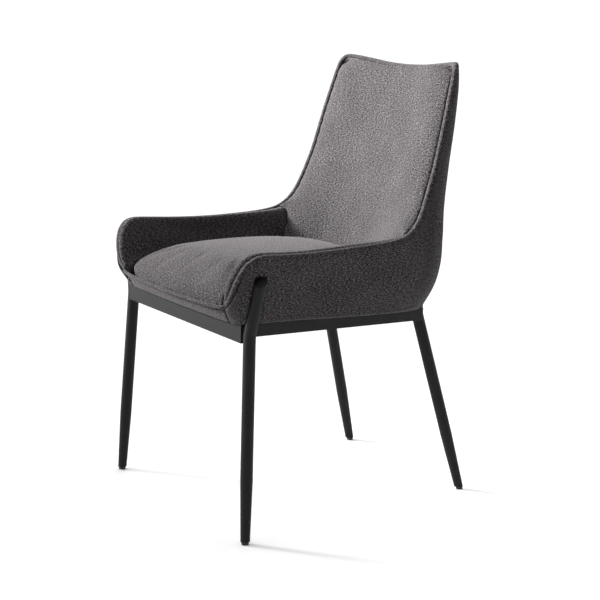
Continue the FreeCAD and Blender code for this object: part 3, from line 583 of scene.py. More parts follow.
def build_boxing(material):
    """Strip under the welt, across the front."""
    def place(u, w):
        top = WELT.at(WELT_END + (1 - 2 * WELT_END) * u) + BOXING_UNDER_WELT
        x = -BOXING_HALF + 2 * BOXING_HALF * u
        bow = 1 - (x / BOXING_HALF) ** 2
        foot = np.array([x, BOXING_Y - BOXING_BOW_Y * bow, BOXING_Z - BOXING_BOW_Z * bow])
        point = foot + (top - foot) * w
        point[1] -= BOXING_BELLY * math.sin(math.pi * w)
        return point

    bm = sheet_mesh(GRIDS["boxing"], place)
    face_outwards(bm, (0, -1, 0))
    turn_border(bm, BOXING_TURN)
    piece = finish_piece("front_boxing_cloth", bm, material, ["front_boxing"])
    thicken(piece, COVER_WALL)


# ---------------------------------------------------------------- trim
# section of the edge band with its piped inner edge: outward across the band, up off its face
BAND_PROFILE = [(4.4, -4.0), (4.9, -1.2), (4.3, 1.3), (2.6, 3.0), (0.0, 3.8), (-3.0, 3.9), (-5.4, 3.2),
                (-7.1, 1.4), (-7.7, -1.6), (-8.6, -3.6), (-11.5, -4.4), (-12.0, -5.2), (-8.0, -5.6),
                (-1.4, -5.0)]
BAND_LINE = Track([(out, up, 0.0) for out, up in BAND_PROFILE + BAND_PROFILE[:1]], per_span=8)
WELD_DISTANCE = 0.02


def build_tube(name, bm, material, nodes):
    """Weld a rolled-up grid along its seam, cap its ends and finish it."""
    bmesh.ops.remove_doubles(bm, verts=bm.verts, dist=WELD_DISTANCE)
    open_edges = [e for e in bm.edges if e.is_boundary]
    if open_edges:
        bmesh.ops.holes_fill(bm, edges=open_edges, sides=0)
    bmesh.ops.recalc_face_normals(bm, faces=bm.faces)
    finish_piece(name, bm, material, nodes)


def build_band(material):
    """Edge band with its piped inner edge, all along the rim from welt end to welt end."""
    def place(u, w):
        side = 2 * u - 1
        out, up, _ = BAND_LINE.at(w)
        point = rim_place(1 - abs(side), out, up)
        if side < 0:
            point[0] = -point[0]
        return point

    build_tube("edge_band_cloth", sheet_mesh(GRIDS["band"], place), material, ["edge_band"])


def build_welt(material):
    """Round welt along the front seam."""
    def place(u, w):
        tangent = unit(WELT.at(u + LOOK_AHEAD) - WELT.at(u - LOOK_AHEAD))
        front = unit(np.cross(tangent, np.array([0.0, 0.0, 1.0])))
        up = np.cross(front, tangent)
        angle = 2 * math.pi * w
        return WELT.at(u) + front * (WELT_RADIUS * math.cos(angle)) - up * (WELT_RADIUS * math.sin(angle))

    build_tube("front_welt_cloth", sheet_mesh(GRIDS["welt"], place), material, ["front_welt"])


# ---------------------------------------------------------------- lining
# depth and half width of the lining at its front and rear edge
LINING_FRONT = (-248.0, 225.0)
LINING_REAR = (154.0, 167.0)
LINING_WALL = 0.0008
LINING_SAG = 5.0
# underside of the seat board: height at a depth, and its fall towards the rear
BOARD_UNDER_Z, BOARD_UNDER_Y, BOARD_FALL = 419.5, -255.5, 0.057
LINING_GAP = 0.2
TAB_PLACES = (-165.0, 95.0)
TAB_NOTCH = 25.0
TAB_REACH = 25.0


def lining_half(y):
    """Half width of the lining, drawn in beside the seat tabs."""
    share = (y - LINING_FRONT[0]) / (LINING_REAR[0] - LINING_FRONT[0])
    half = LINING_FRONT[1] + (LINING_REAR[1] - LINING_FRONT[1]) * share
    notch = max(1.0 / (1.0 + (abs(y - tab) / TAB_REACH) ** 8) for tab in TAB_PLACES)
    return half - TAB_NOTCH * notch


def build_lining(material):
    """Lining stapled under the seat board, with a slight sag."""
    def place(u, w):
        y = LINING_FRONT[0] + (LINING_REAR[0] - LINING_FRONT[0]) * w
        x = (2 * u - 1) * lining_half(y)
        sag = LINING_SAG * math.sin(math.pi * u) * math.sin(math.pi * w)
        return np.array([x, y, BOARD_UNDER_Z - BOARD_FALL * (y - BOARD_UNDER_Y) - LINING_GAP - sag])

    bm = sheet_mesh(GRIDS["lining"], place)
    face_outwards(bm, (0, 0, -1))
    piece = finish_piece("lining_cloth", bm, material, ["dust_cover"])
    thicken(piece, LINING_WALL, 1.0)


# ---------------------------------------------------------------- inner pads
PAD_WALL = 0.006
SEAM_TUCK, SEAM_REACH = 3.0, 9.0
# seams lower than this are under the seat cushion
SEAT_LINE = 470.0
# how the inner arm's rows bunch towards the front, along the rim and along the crease
ARM_RIM_BUNCH, ARM_CREASE_BUNCH = 1.1, 0.85
# height of the arm's face from which it has its full shape
ARM_FULL = 70.0
# where the face turns over under the band: outward, more outward at the full shape, up at the full shape
ARM_OVER_OUT, ARM_OVER_WIDE, ARM_OVER_UP = -8.0, -13.0, -1.0
ARM_WALL_SHARE = 0.45
ARM_WALL_SWELL = np.array([4.0, 0.0, 4.0])
ARM_BELOW = np.array([0.5, 0.5, -24.0])
ARM_REAR_Y = 60.0
# powers by which the pads' surfaces come over to the seam, the top edge and the sides
ARM_SEAM_PULL = 8
BACK_TOP_PULL = 6
BACK_DISH = 2.6
BACK_TOP_REACH = 34.0
# points along the arm's seam, the back's side border, its part behind the arm's pad, and the top
ARM_STEPS, SIDE_STEPS, SIDE_LOW_STEPS, TOP_STEPS = 300, 200, 30, 80
BAND_STEPS = 24


def arm_place(u, w):
    """Base surface of the right inner arm: from below the seat crease up to the band's inner seam."""
    share = ARM_SEAM_SHARE * u ** ARM_RIM_BUNCH
    seam = rim_place(share, SEAM_OUT, SEAM_UP)
    crease = CREASE.at(u ** ARM_CREASE_BUNCH)
    size = min(1.0, np.linalg.norm(seam - crease) / ARM_FULL)
    over = rim_place(share, ARM_OVER_OUT + ARM_OVER_WIDE * size, ARM_OVER_UP * size)
    wall = over + (crease - over) * ARM_WALL_SHARE + ARM_WALL_SWELL * size
    return Track([crease + ARM_BELOW, crease, wall, over, seam], per_span=10).at(w)


def arm_seam_track():
    """Seam between inner arm and inner back, up to the band."""
    return Track(ARM_SEAM_ROWS + [tuple(rim_place(ARM_SEAM_SHARE, SEAM_OUT, SEAM_UP))])


def build_arm_pads(settings, material):
    """Inner arm pads."""
    seam = arm_seam_track()

    def place(u, w):
        return arm_place(u, w) + (seam.at(w) - arm_place(1.0, w)) * u ** ARM_SEAM_PULL

    bm = sheet_mesh(GRIDS["arm"], place)
    face_outwards(bm, (-1, 0, 0.5))
    sewn = [rim_place(ARM_SEAM_SHARE * k / ARM_STEPS, SEAM_OUT, SEAM_UP) for k in range(ARM_STEPS + 1)]
    swell(bm, sewn, settings.arm_height / MM, settings.arm_roll / MM)
    rear = [tuple(v.co) for v in bm.verts if v.is_boundary and v.co.y > ARM_REAR_Y and v.co.z > SEAT_LINE]
    tuck(bm, rear, SEAM_TUCK, SEAM_REACH)
    lie_over_boards(bm)
    for side, mesh in (("right", bm), ("left", mirrored_copy(bm))):
        nodes = [f"{side}_inner_arm_cover", f"{side}_arm_foam"]
        piece = finish_piece(f"arm_pad_{side}", mesh, material, nodes)
        thicken(piece, PAD_WALL)


def back_side_track():
    """Right-hand border of the inner back: the arm's seam, then the band's inner seam to the top corner."""
    rows = [np.array(r) for r in ARM_SEAM_ROWS]
    for k in range(BAND_STEPS + 1):
        share = ARM_SEAM_SHARE + (CORNER_SHARE - ARM_SEAM_SHARE) * k / BAND_STEPS
        rows.append(rim_place(share, SEAM_OUT, SEAM_UP))
    return Track(rows, per_span=6)


def top_seam_place(k):
    """Point of the top seam: k runs 0 to 1 from the top corner to the middle."""
    return rim_place(CORNER_SHARE + (1 - CORNER_SHARE) * k, SEAM_OUT, SEAM_UP)


def back_pad_place(side, middle):
    """Place function of the inner back between its side borders and its middle line."""
    def row_point(k, w):
        edge, centre = side.at(w), middle.at(w)
        y = edge[1] + (centre[1] - edge[1]) * (1 - k ** BACK_DISH)
        z = edge[2] + (centre[2] - edge[2]) * (1 - k * k)
        return np.array([edge[0] * k, y, z])

    def place(u, w):
        across = 2 * u - 1
        k = abs(across)
        point = row_point(k, w) + (top_seam_place(1 - k) - row_point(k, 1.0)) * w ** BACK_TOP_PULL
        point[0] = math.copysign(point[0], across)
        return point

    return place


def build_back_pad(settings, material):
    """Inner back pad between the arms' seams and the band."""
    side = back_side_track()
    middle = Track(BACK_MIDDLE_ROWS + [tuple(rim_place(1.0, SEAM_OUT, SEAM_UP))])
    bm = sheet_mesh(GRIDS["back pad"], back_pad_place(side, middle))
    face_outwards(bm, (0, -1, 0))
    border = [side.at(k / SIDE_STEPS) for k in range(SIDE_STEPS + 1)]
    puff = settings.back_height / MM
    swell(bm, both_sides(border[SIDE_LOW_STEPS:]), puff, settings.back_roll / MM)
    top = [top_seam_place(k / TOP_STEPS) for k in range(TOP_STEPS + 1)]
    tuck(bm, both_sides(top), puff, BACK_TOP_REACH)
    arm_seams = [p for p in border[:SIDE_LOW_STEPS] if p[2] > SEAT_LINE]
    tuck(bm, both_sides(arm_seams), SEAM_TUCK, SEAM_REACH)
    lie_over_boards(bm)
    piece = finish_piece("back_pad", bm, material, ["inner_back_cover", "back_foam"])
    thicken(piece, PAD_WALL)


# ---------------------------------------------------------------- seat cushion
SEAT_FRONT_Y, SEAT_REAR_Y = -294.0, 128.0
# half width of the cushion at a depth
SEAT_HALF_ROWS = [(-300.0, 208.0), (-272.0, 211.0), (-245.0, 212.0), (-200.0, 209.0), (-130.0, 203.0),
                  (-60.0, 196.5), (10.0, 190.0), (60.0, 187.0), (130.0, 186.0)]
# how much the plan rounds off at the sides and the rear, and along the front
SEAT_ROUNDING, FRONT_ROUNDING = 0.20, 0.06
# plan sizes that the reaches of the rolled edges are measured on
SEAT_HALF_WIDE, SEAT_HALF_DEEP = 200.0, 211.0
# height of the border at the front, and how far it rises towards the sides and the rear
SEAT_LOW, SEAT_LOW_RISE = 446.0, 5.0
SEAT_THICK = 52.0
FRONT_ROLL, SIDE_ROLL, REAR_ROLL = 75.0, 95.0, 110.0
# share of the thickness that is left at the side and the rear border
SIDE_LEFT, REAR_LEFT = 0.50, 0.62
CROWN_FORWARD = 0.15
# how far the front border is drawn in, and over which reach
NOSE_IN, NOSE_REACH = 5.0, 6.0
SKIRT_Z, SKIRT_MIDDLE_Y, SKIRT_SHRINK = 437.0, -100.0, 0.985
# simulation: inner pressure, frames, and the points held, in metres
PRESSURE = 4.0
PLUMP_FRAMES = 20
HELD_BELOW_Z, HELD_BEFORE_Y = 0.4375, -0.2805
NO_MOVE = 1e-9


def seat_half(y):
    """Half width of the cushion at a depth."""
    return float(np.interp(y, [r[0] for r in SEAT_HALF_ROWS], [r[1] for r in SEAT_HALF_ROWS]))


def crown_share(a, b):
    """Share of the crown's rise at plan values: 1 a little in front of the middle, 0 at the border."""
    past = b + CROWN_FORWARD
    reach = 1 + CROWN_FORWARD if past > 0 else 1 - CROWN_FORWARD
    return (1 - a * a) * (1 - (past / reach) ** 2)


def seat_place(a, b, crown):
    """Top of the cushion for plan values from -1 to 1 across and from front to back."""
    x_share = a * math.sqrt(1 - SEAT_ROUNDING * b * b)
    y_share = b * math.sqrt(1 - (SEAT_ROUNDING if b > 0 else FRONT_ROUNDING) * a * a)
    y = SEAT_FRONT_Y + (SEAT_REAR_Y - SEAT_FRONT_Y) * (y_share + 1) / 2
    front_gap = (1 + b) * SEAT_HALF_DEEP
    front = SEAT_THICK * roll(front_gap, FRONT_ROLL)
    side = SIDE_LEFT + (1 - SIDE_LEFT) * roll((1 - abs(a)) * SEAT_HALF_WIDE, SIDE_ROLL)
    rear = REAR_LEFT + (1 - REAR_LEFT) * roll((1 - b) * SEAT_HALF_DEEP, REAR_ROLL)
    low = SEAT_LOW + SEAT_LOW_RISE * max(abs(a) ** 4, (b + 1) / 2)
    z = low + front * side * rear + crown * crown_share(a, b)
    return np.array([x_share * seat_half(y), y + NOSE_IN * max(0.0, 1.0 - front_gap / NOSE_REACH), z])


def close_below(bm):
    """Drop a skirt from the cushion's border and close it underneath."""
    skirt = bmesh.ops.extrude_edge_only(bm, edges=[e for e in bm.edges if e.is_boundary])
    for item in skirt["geom"]:
        if isinstance(item, bmesh.types.BMVert):
            y = SKIRT_MIDDLE_Y + (item.co.y - SKIRT_MIDDLE_Y) * SKIRT_SHRINK
            item.co = (item.co.x * SKIRT_SHRINK, y, SKIRT_Z)
    bmesh.ops.holes_fill(bm, edges=[e for e in bm.edges if e.is_boundary], sides=0)
    bmesh.ops.triangulate(bm, faces=[f for f in bm.faces if len(f.verts) > 4])
    bmesh.ops.recalc_face_normals(bm, faces=bm.faces)


def build_seat(settings, material):
    """Crowned seat cushion, blown up a little by simulation."""
    crown = settings.seat_crown / MM
    bm = sheet_mesh(GRIDS["seat"], lambda u, w: seat_place(2 * u - 1, 2 * w - 1, crown))
    face_outwards(bm, (0, 0, 1))
    close_below(bm)
    piece = finish_piece("seat_cushion", bm, material, ["seat_cover", "seat_foam"])
    plump(piece, settings.seat_plump)


def blown_up(piece, held):
    """Places of a closed pad's points after a short Cloth simulation, with some points held."""
    group = piece.vertex_groups.new(name="held")
    group.add(held, 1.0, "ADD")
    cloth = piece.modifiers.new("plump", "CLOTH")
    cloth.settings.vertex_group_mass = "held"
    cloth.settings.use_pressure = True
    cloth.settings.uniform_pressure_force = PRESSURE
    cloth.settings.effector_weights.gravity = 0.0
    cloth.point_cache.frame_start = 1
    cloth.point_cache.frame_end = PLUMP_FRAMES
    scene = bpy.context.scene
    for number in range(1, PLUMP_FRAMES + 1):
        scene.frame_set(number)
    graph = bpy.context.evaluated_depsgraph_get()
    points = np.array([v.co for v in piece.evaluated_get(graph).data.vertices])
    piece.modifiers.remove(cloth)
    piece.vertex_groups.remove(group)
    scene.frame_set(1)
    return points


def plump(piece, cap):
    """Inflate a closed pad and keep each point within the cap of its start."""
    mesh = piece.data
    start = np.array([v.co for v in mesh.vertices])
    held = [v.index for v in mesh.vertices if v.co.z < HELD_BELOW_Z or v.co.y < HELD_BEFORE_Y]
    move = blown_up(piece, held) - start
    far = np.linalg.norm(move, axis=1)
    move *= (cap * np.tanh(far / cap) / np.maximum(far, NO_MOVE))[:, None]
    mesh.vertices.foreach_set("co", (start + move).astype(np.float32).ravel())
    mesh.update()


# ---------------------------------------------------------------- node tools
def new_material(name):
    """New node material; gives the material, its tree and its shader."""
    material = bpy.data.materials.new(name)
    material.use_nodes = True
    tree = material.node_tree
    shader = next(n for n in tree.nodes if n.type == "BSDF_PRINCIPLED")
    return material, tree, shader


def add(tree, kind, **values):
    """New node with its settings."""
    node = tree.nodes.new(kind)
    for key, value in values.items():
        setattr(node, key, value)
    return node


def set_sockets(node, values):
    """Set constants on a node's own sockets."""
    for name, value in values.items():
        node.inputs[name].default_value = value


def noise(tree, vector, scale, detail=2.0, rough=0.5, distortion=0.0):
    """Noise texture read at a vector."""
    node = add(tree, "ShaderNodeTexNoise")
    set_sockets(node, {"Scale": scale, "Detail": detail, "Roughness": rough, "Distortion": distortion})
    tree.links.new(vector, node.inputs["Vector"])
    return node.outputs["Fac"]


def stretched(tree, vector, scale):
    """The vector stretched by a scale on each axis."""
    node = add(tree, "ShaderNodeMapping")
    node.inputs["Scale"].default_value = scale
    tree.links.new(vector, node.inputs["Vector"])
    return node.outputs["Vector"]


def maths(tree, operation, a, b):
    """Arithmetic on two values or sockets."""
    node = add(tree, "ShaderNodeMath", operation=operation)
    for socket, value in zip(node.inputs, (a, b)):
        if isinstance(value, (int, float)):
            socket.default_value = value
        else:
            tree.links.new(value, socket)
    return node.outputs[0]


def ramp(tree, value, stops):
    """Colour ramp through (place, colour) stops."""
    node = add(tree, "ShaderNodeValToRGB")
    tree.links.new(value, node.inputs[0])
    elements = node.color_ramp.elements
    while len(elements) < len(stops):
        elements.new(0.5)
    for element, (place, colour) in zip(elements, stops):
        element.position = place
        element.color = (*colour, 1.0)
    return node.outputs[0]


def paint(tree, shader, value, stops):
    """Base colour from a value through colour stops."""
    tree.links.new(ramp(tree, value, stops), shader.inputs["Base Color"])


def roughen(tree, shader, value, base, span):
    """Roughness from a base up to base plus span as the value goes from 0 to 1."""
    rough = maths(tree, "ADD", base, maths(tree, "MULTIPLY", value, span))
    tree.links.new(rough, shader.inputs["Roughness"])


def bump(tree, shader, height, strength, distance):
    """Bump from a height, linked to the shader."""
    node = add(tree, "ShaderNodeBump")
    set_sockets(node, {"Strength": strength, "Distance": distance})
    tree.links.new(height, node.inputs["Height"])
    tree.links.new(node.outputs[0], shader.inputs["Normal"])


# ---------------------------------------------------------------- materials
YARN_PITCH = 0.0014
YARN_TURNS = 2 * math.pi / YARN_PITCH
# yarns of the chenille: weight, spots per metre along and across, detail and roughness of the noise
YARNS = (
    (0.55, (180.0, 640.0, 1.0), 2.0, 0.65),
    (0.3, (480.0, 320.0, 1.0), 2.0, 0.65),
    (0.15, (900.0, 1300.0, 1.0), 1.0, 0.5),
)
PATCH_SCALE, PATCH_WEIGHT = 14.0, 0.05
YARN_STOPS = (0.42, 0.49, 0.585)
WEAVE_WEIGHT = 0.08
CLOTH_BUMP = (0.5, 0.0012)
CLOTH_SHADER = {"Roughness": 0.92, "Specular IOR Level": 0.12, "Sheen Weight": 0.1, "Sheen Roughness": 0.5,
                "Sheen Tint": (0.85, 0.8, 0.82, 1.0)}
# grain of the hard finishes: spots per metre
POWDER_GRAIN, POWDER_WASH = 1800.0, 30.0
PLASTIC_GRAIN = 2600.0
ZINC_BRUSHING = (300.0, 300.0, 2400.0)
PLYWOOD_GRAIN = (60.0, 9.0, 60.0)
LINING_FIBRE = 700.0
# stops of the hard finishes' colours; the powder coat's are shares of its colour
POWDER_STOPS = ((0.35, 0.92), (0.65, 1.08))
PLASTIC_STOPS = ((0.3, (0.008, 0.008, 0.008)), (0.7, (0.018, 0.018, 0.018)))
ZINC_STOPS = ((0.3, (0.42, 0.42, 0.44)), (0.7, (0.62, 0.62, 0.64)))
PLYWOOD_STOPS = ((0.3, (0.42, 0.28, 0.15)), (0.7, (0.66, 0.5, 0.32)))
LINING_STOPS = ((0.35, (0.006, 0.006, 0.006)), (0.7, (0.03, 0.03, 0.03)))


def weave(tree, uv):
    """Plain weave: product of two sine waves across the cloth."""
    parts = add(tree, "ShaderNodeSeparateXYZ")
    tree.links.new(uv, parts.inputs[0])
    turns = [maths(tree, "MULTIPLY", parts.outputs[k], YARN_TURNS) for k in (0, 1)]
    waves = [maths(tree, "SINE", turn, 0.0) for turn in turns]
    return maths(tree, "MULTIPLY", waves[0], waves[1])


def yarn_value(tree, uv):
    """Value from dark to light yarn: slubs along and across, fine specks and faint patches."""
    parts = []
    for weight, scale, detail, rough in YARNS:
        spots = noise(tree, stretched(tree, uv, scale), 1.0, detail, rough)
        parts.append(maths(tree, "MULTIPLY", spots, weight))
    patches = maths(tree, "SUBTRACT", noise(tree, uv, PATCH_SCALE, 3.0, 0.55), 0.5)
    parts.append(maths(tree, "MULTIPLY", patches, PATCH_WEIGHT))
    total = parts[0]
    for part in parts[1:]:
        total = maths(tree, "ADD", total, part)
    return total


def fabric_material(settings):
    """Soft woven chenille: short slubs of dark and light yarn, a fine weave and a brushed nap."""
    material, tree, shader = new_material("chenille")
    uv = add(tree, "ShaderNodeUVMap", uv_map="cloth").outputs[0]
    yarn = yarn_value(tree, uv)
    tones = (settings.fabric_dark, settings.fabric_middle, settings.fabric_light)
    paint(tree, shader, yarn, tuple(zip(YARN_STOPS, tones)))
    set_sockets(shader, CLOTH_SHADER)
    relief = maths(tree, "ADD", yarn, maths(tree, "MULTIPLY", weave(tree, uv), WEAVE_WEIGHT))
    bump(tree, shader, relief, *CLOTH_BUMP)
    return material


def solid_material(name):
    """New material with the object's own coordinates beside its tree and its shader."""
    material, tree, shader = new_material(name)
    return material, tree, shader, add(tree, "ShaderNodeTexCoord").outputs["Object"]


def powder_material(colour):
    """Matt powder coat with a fine orange-peel texture."""
    material, tree, shader, place = solid_material("powder_coat")
    grain = noise(tree, place, POWDER_GRAIN)
    wash = noise(tree, place, POWDER_WASH, 3.0, 0.6)
    paint(tree, shader, wash, [(stop, tuple(c * share for c in colour)) for stop, share in POWDER_STOPS])
    roughen(tree, shader, grain, 0.5, 0.16)
    set_sockets(shader, {"Specular IOR Level": 0.16})
    bump(tree, shader, grain, 0.12, 0.0004)
    return material


def plastic_material():
    """Moulded black plastic with a spark-eroded grain."""
    material, tree, shader, place = solid_material("moulded_plastic")
    grain = noise(tree, place, PLASTIC_GRAIN, 1.0)
    paint(tree, shader, grain, PLASTIC_STOPS)
    set_sockets(shader, {"Roughness": 0.6})
    bump(tree, shader, grain, 0.1, 0.0003)
    return material


def zinc_material():
    """Zinc plated steel with fine brushing."""
    material, tree, shader, place = solid_material("zinc")
    grain = noise(tree, stretched(tree, place, ZINC_BRUSHING), 1.0)
    paint(tree, shader, grain, ZINC_STOPS)
    roughen(tree, shader, grain, 0.3, 0.2)
    set_sockets(shader, {"Metallic": 1.0})
    return material


def plywood_material():
    """Bare birch plywood: pale face with a soft grain."""
    material, tree, shader, place = solid_material("birch_plywood")
    grain = noise(tree, stretched(tree, place, PLYWOOD_GRAIN), 1.0, 4.0, 0.6, 0.6)
    paint(tree, shader, grain, PLYWOOD_STOPS)
    set_sockets(shader, {"Roughness": 0.7})
    bump(tree, shader, grain, 0.2, 0.0003)
    return material


def lining_material():
    """Thin black nonwoven under the seat."""
    material, tree, shader, place = solid_material("nonwoven_lining")
    fibre = noise(tree, place, LINING_FIBRE, 3.0, 0.7, 1.5)
    paint(tree, shader, fibre, LINING_STOPS)
    set_sockets(shader, {"Roughness": 0.95})
    bump(tree, shader, fibre, 0.3, 0.0003)
    return material


HARD_NODES = {
    "powder_coat": ["front_left_leg", "front_right_leg", "rear_left_leg", "rear_right_leg", "front_rail",
                    "rear_rail", "left_side_rail", "right_side_rail", "seat_tabs", "stub_caps"],
    "moulded_plastic": ["glides"],
    "zinc": ["frame_bolts", "bolt_washers", "tee_nuts", "board_screws", "staples"],
    "birch_plywood": ["seat_board", "back_board", "left_side_board", "right_side_board", "corner_blocks"],
}


# ---------------------------------------------------------------- stage
SENSOR_WIDTH = 36.0
FLOOR_HALF = 400.0
FLOOR_SHADER = {"Base Color": (0.93, 0.93, 0.93, 1.0), "Roughness": 0.9}
# strength of the world's light from the chair's left to its right
SKY_FALL = {"From Min": -1.0, "From Max": 1.0, "To Min": 2.0, "To Max": 0.3}
SKY_COLOUR = (1.0, 1.0, 1.0, 1.0)
# lights: place, point looked at, side length
KEY_LIGHT = ((-2.25, -1.8, 1.75), (-0.04, 0.18, 0.85), 0.9)
BACK_LIGHT = ((-2.4, 1.6, 2.2), (0.0, 0.0, 0.6), 1.2)
KEY_SPREAD = math.radians(29.0)


def studio_world():
    """Even studio light that falls off towards the chair's near side."""
    world = bpy.data.worlds.new("studio")
    world.use_nodes = True
    tree = world.node_tree
    parts = add(tree, "ShaderNodeSeparateXYZ")
    tree.links.new(add(tree, "ShaderNodeTexCoord").outputs["Generated"], parts.inputs[0])
    fall = add(tree, "ShaderNodeMapRange", interpolation_type="SMOOTHSTEP")
    set_sockets(fall, SKY_FALL)
    tree.links.new(parts.outputs[0], fall.inputs["Value"])
    background = tree.nodes["Background"]
    set_sockets(background, {"Color": SKY_COLOUR})
    tree.links.new(fall.outputs[0], background.inputs["Strength"])
    return world


def area_light(name, place, target, side, power):
    """Soft square light that looks at a point; gives its light data."""
    light = bpy.data.lights.new(name, "AREA")
    light.shape = "RECTANGLE"
    light.size, light.size_y = side, side
    light.energy = power
    holder = bpy.data.objects.new(name, light)
    bpy.context.scene.collection.objects.link(holder)
    holder.location = place
    holder.rotation_euler = (Vector(target) - Vector(place)).to_track_quat("-Z", "Y").to_euler()
    return light


def build_floor():
    """Plain pale floor, wide enough to fill every view."""
    bm = bmesh.new()
    bmesh.ops.create_grid(bm, x_segments=4, y_segments=4, size=FLOOR_HALF)
    mesh = bpy.data.meshes.new("floor")
    bm.to_mesh(mesh)
    bm.free()
    floor = bpy.data.objects.new("floor", mesh)
    bpy.context.scene.collection.objects.link(floor)
    material, _, shader = new_material("pale_floor")
    set_sockets(shader, FLOOR_SHADER)
    mesh.materials.append(material)


def build_camera(settings):
    """Camera from its azimuth round the chair, its elevation, its tilt and its place."""
    camera = bpy.data.objects.new("camera", bpy.data.cameras.new("camera"))
    camera.data.lens = settings.lens
    camera.data.sensor_width = SENSOR_WIDTH
    scene = bpy.context.scene
    scene.collection.objects.link(camera)
    a, e, r = settings.azimuth, settings.elevation, settings.tilt
    back = Vector((math.sin(a) * math.cos(e), -math.cos(a) * math.cos(e), math.sin(e)))
    right = Vector((math.cos(a), math.sin(a), 0.0))
    up = back.cross(right)
    right, up = right * math.cos(r) + up * math.sin(r), up * math.cos(r) - right * math.sin(r)
    turn = Matrix((right, up, back)).transposed()
    camera.matrix_world = Matrix.Translation(settings.place) @ turn.to_4x4()
    scene.camera = camera


# ---------------------------------------------------------------- settings
def colour_property(name, text, value):
    """Colour that a user can change."""
    return bpy.props.FloatVectorProperty(name=name, description=text, default=value, subtype="COLOR",
                                         size=3, min=0.0, max=1.0)


def length_property(name, text, value):
    """Length that a user can change."""
    return bpy.props.FloatProperty(name=name, description=text, default=value, unit="LENGTH",
                                   subtype="DISTANCE", min=0.0, max=0.2)


class ChairUpholstery(bpy.types.PropertyGroup):
    """Sizes of the soft pieces."""

    arm_height: length_property("Arm puff", "How far the arm pad stands above its seams", 0.006)
    arm_roll: length_property("Arm roll", "Reach of the arm pad's rounded edge", 0.016)
    back_height: length_property("Back puff", "How far the back pad stands above its seams", 0.025)
    back_roll: length_property("Back roll", "Reach of the back pad's rounded edge", 0.095)
    seat_crown: length_property("Seat crown", "Rise of the cushion in its middle", 0.015)
    seat_plump: length_property("Seat plumpness", "Most that the simulation moves the cushion", 0.006)


class ChairFinishes(bpy.types.PropertyGroup):
    """Colours of the finishes."""

    fabric_dark: colour_property("Dark yarn", "Darkest yarn of the chenille", (0.0027, 0.0023, 0.0027))
    fabric_middle: colour_property("Middle yarn", "Main yarn of the chenille", (0.015, 0.0131, 0.0143))
    fabric_light: colour_property("Light yarn", "Lightest yarn of the chenille", (0.105, 0.096, 0.1))
    metal_colour: colour_property("Metal", "Powder coat of the frame", (0.009, 0.0093, 0.010))


class ChairStage(bpy.types.PropertyGroup):
    """Camera, floor and light."""

    lens: bpy.props.FloatProperty(name="Lens", description="Focal length on a 36 mm sensor", default=92.6,
                                  unit="CAMERA", min=10.0, max=300.0)
    azimuth: bpy.props.FloatProperty(name="Azimuth", description="Camera's turn from the chair's front",
                                     default=math.radians(58.08), subtype="ANGLE", unit="ROTATION")
    elevation: bpy.props.FloatProperty(name="Elevation", description="Camera's angle above the horizon",
                                       default=math.radians(11.54), subtype="ANGLE", unit="ROTATION")
    tilt: bpy.props.FloatProperty(name="Tilt", description="Camera's turn about its own axis",
                                  default=math.radians(0.62), subtype="ANGLE", unit="ROTATION")
    place: bpy.props.FloatVectorProperty(name="Camera", description="Camera's place", size=3, subtype="XYZ",
                                         unit="LENGTH", default=(2.6643, -1.6469, 1.0357))
    key_power: bpy.props.FloatProperty(name="Key light", description="Power of the main light in watts",
                                       default=23.0, unit="POWER", min=0.0)
    fill_power: bpy.props.FloatProperty(name="Fill light", description="Power of the fill light in watts",
                                        default=10.0, unit="POWER", min=0.0)


# ---------------------------------------------------------------- operators
def cloth_material(context):
    """The shared fabric, made once."""
    return bpy.data.materials.get("chenille") or fabric_material(context.scene.chair_finishes)


class CHAIR_OT_covers(bpy.types.Operator):
    """Make the outer side covers, outer back, front boxing and lining"""

    bl_idname = "chair.covers"
    bl_label = "Outer covers"

    def execute(self, context):
        material = cloth_material(context)
        build_side_covers(material)
        build_outer_back(material)
        build_boxing(material)
        build_lining(lining_material())
        return {"FINISHED"}


class CHAIR_OT_pads(bpy.types.Operator):
    """Make the inner arm pads and the inner back pad"""

    bl_idname = "chair.pads"
    bl_label = "Inner pads"

    def execute(self, context):
        settings, material = context.scene.chair_upholstery, cloth_material(context)
        build_arm_pads(settings, material)
        build_back_pad(settings, material)
        return {"FINISHED"}


class CHAIR_OT_seat(bpy.types.Operator):
    """Make the seat cushion"""

    bl_idname = "chair.seat"
    bl_label = "Seat cushion"

    def execute(self, context):
        build_seat(context.scene.chair_upholstery, cloth_material(context))
        return {"FINISHED"}


class CHAIR_OT_trim(bpy.types.Operator):
    """Make the edge band and the front welt"""

    bl_idname = "chair.trim"
    bl_label = "Edge band and welt"

    def execute(self, context):
        material = cloth_material(context)
        build_band(material)
        build_welt(material)
        return {"FINISHED"}


class CHAIR_OT_finishes(bpy.types.Operator):
    """Give the frame, fixings and boards their materials"""

    bl_idname = "chair.finishes"
    bl_label = "Hard finishes"

    def execute(self, context):
        finishes = {
            "powder_coat": powder_material(context.scene.chair_finishes.metal_colour),
            "moulded_plastic": plastic_material(),
            "zinc": zinc_material(),
            "birch_plywood": plywood_material(),
        }
        for finish, nodes in HARD_NODES.items():
            for node in nodes:
                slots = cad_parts[node].data.materials
                slots.clear()
                slots.append(finishes[finish])
        return {"FINISHED"}


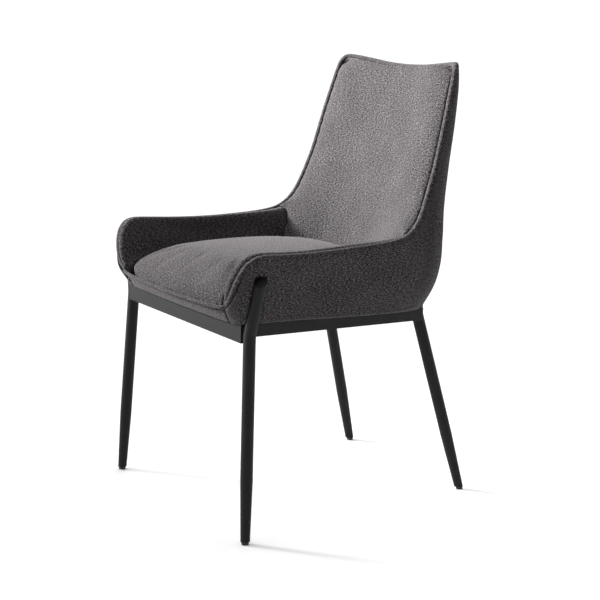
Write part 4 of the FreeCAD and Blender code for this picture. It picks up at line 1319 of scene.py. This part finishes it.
class CHAIR_OT_stage(bpy.types.Operator):
    """Make the floor, lights and camera"""

    bl_idname = "chair.stage"
    bl_label = "Stage"

    def execute(self, context):
        settings = context.scene.chair_stage
        build_floor()
        context.scene.world = studio_world()
        context.scene.view_settings.view_transform = "Standard"
        area_light("key", *KEY_LIGHT, settings.key_power).spread = KEY_SPREAD
        area_light("back", *BACK_LIGHT, settings.fill_power)
        build_camera(settings)
        return {"FINISHED"}


class CHAIR_PT_panel(bpy.types.Panel):
    """Chair tools in the sidebar"""

    bl_label = "Dining Chair"
    bl_idname = "CHAIR_PT_panel"
    bl_space_type = "VIEW_3D"
    bl_region_type = "UI"
    bl_category = "Chair"

    def draw(self, context):
        scene = context.scene
        for group in (scene.chair_upholstery, scene.chair_finishes, scene.chair_stage):
            box = self.layout.box()
            for key in group.bl_rna.properties.keys():
                if key not in ("rna_type", "name"):
                    box.prop(group, key)
        for operator in OPERATORS:
            self.layout.operator(operator.bl_idname)


OPERATORS = (CHAIR_OT_stage, CHAIR_OT_covers, CHAIR_OT_pads, CHAIR_OT_seat, CHAIR_OT_trim,
             CHAIR_OT_finishes)
GROUPS = {"chair_upholstery": ChairUpholstery, "chair_finishes": ChairFinishes, "chair_stage": ChairStage}


def register():
    """Register the classes and hang the settings on the scene."""
    for item in (*GROUPS.values(), *OPERATORS, CHAIR_PT_panel):
        bpy.utils.register_class(item)
    for name, group in GROUPS.items():
        setattr(bpy.types.Scene, name, bpy.props.PointerProperty(type=group))


def unregister():
    """Take the settings and the classes away again."""
    for name in GROUPS:
        delattr(bpy.types.Scene, name)
    for item in (CHAIR_PT_panel, *reversed(OPERATORS), *reversed(GROUPS.values())):
        bpy.utils.unregister_class(item)


def main():
    """Make the whole chair."""
    register()
    bpy.ops.chair.stage()
    bpy.ops.chair.covers()
    bpy.ops.chair.pads()
    bpy.ops.chair.seat()
    bpy.ops.chair.trim()
    bpy.ops.chair.finishes()


if __name__ == "__main__":
    main()
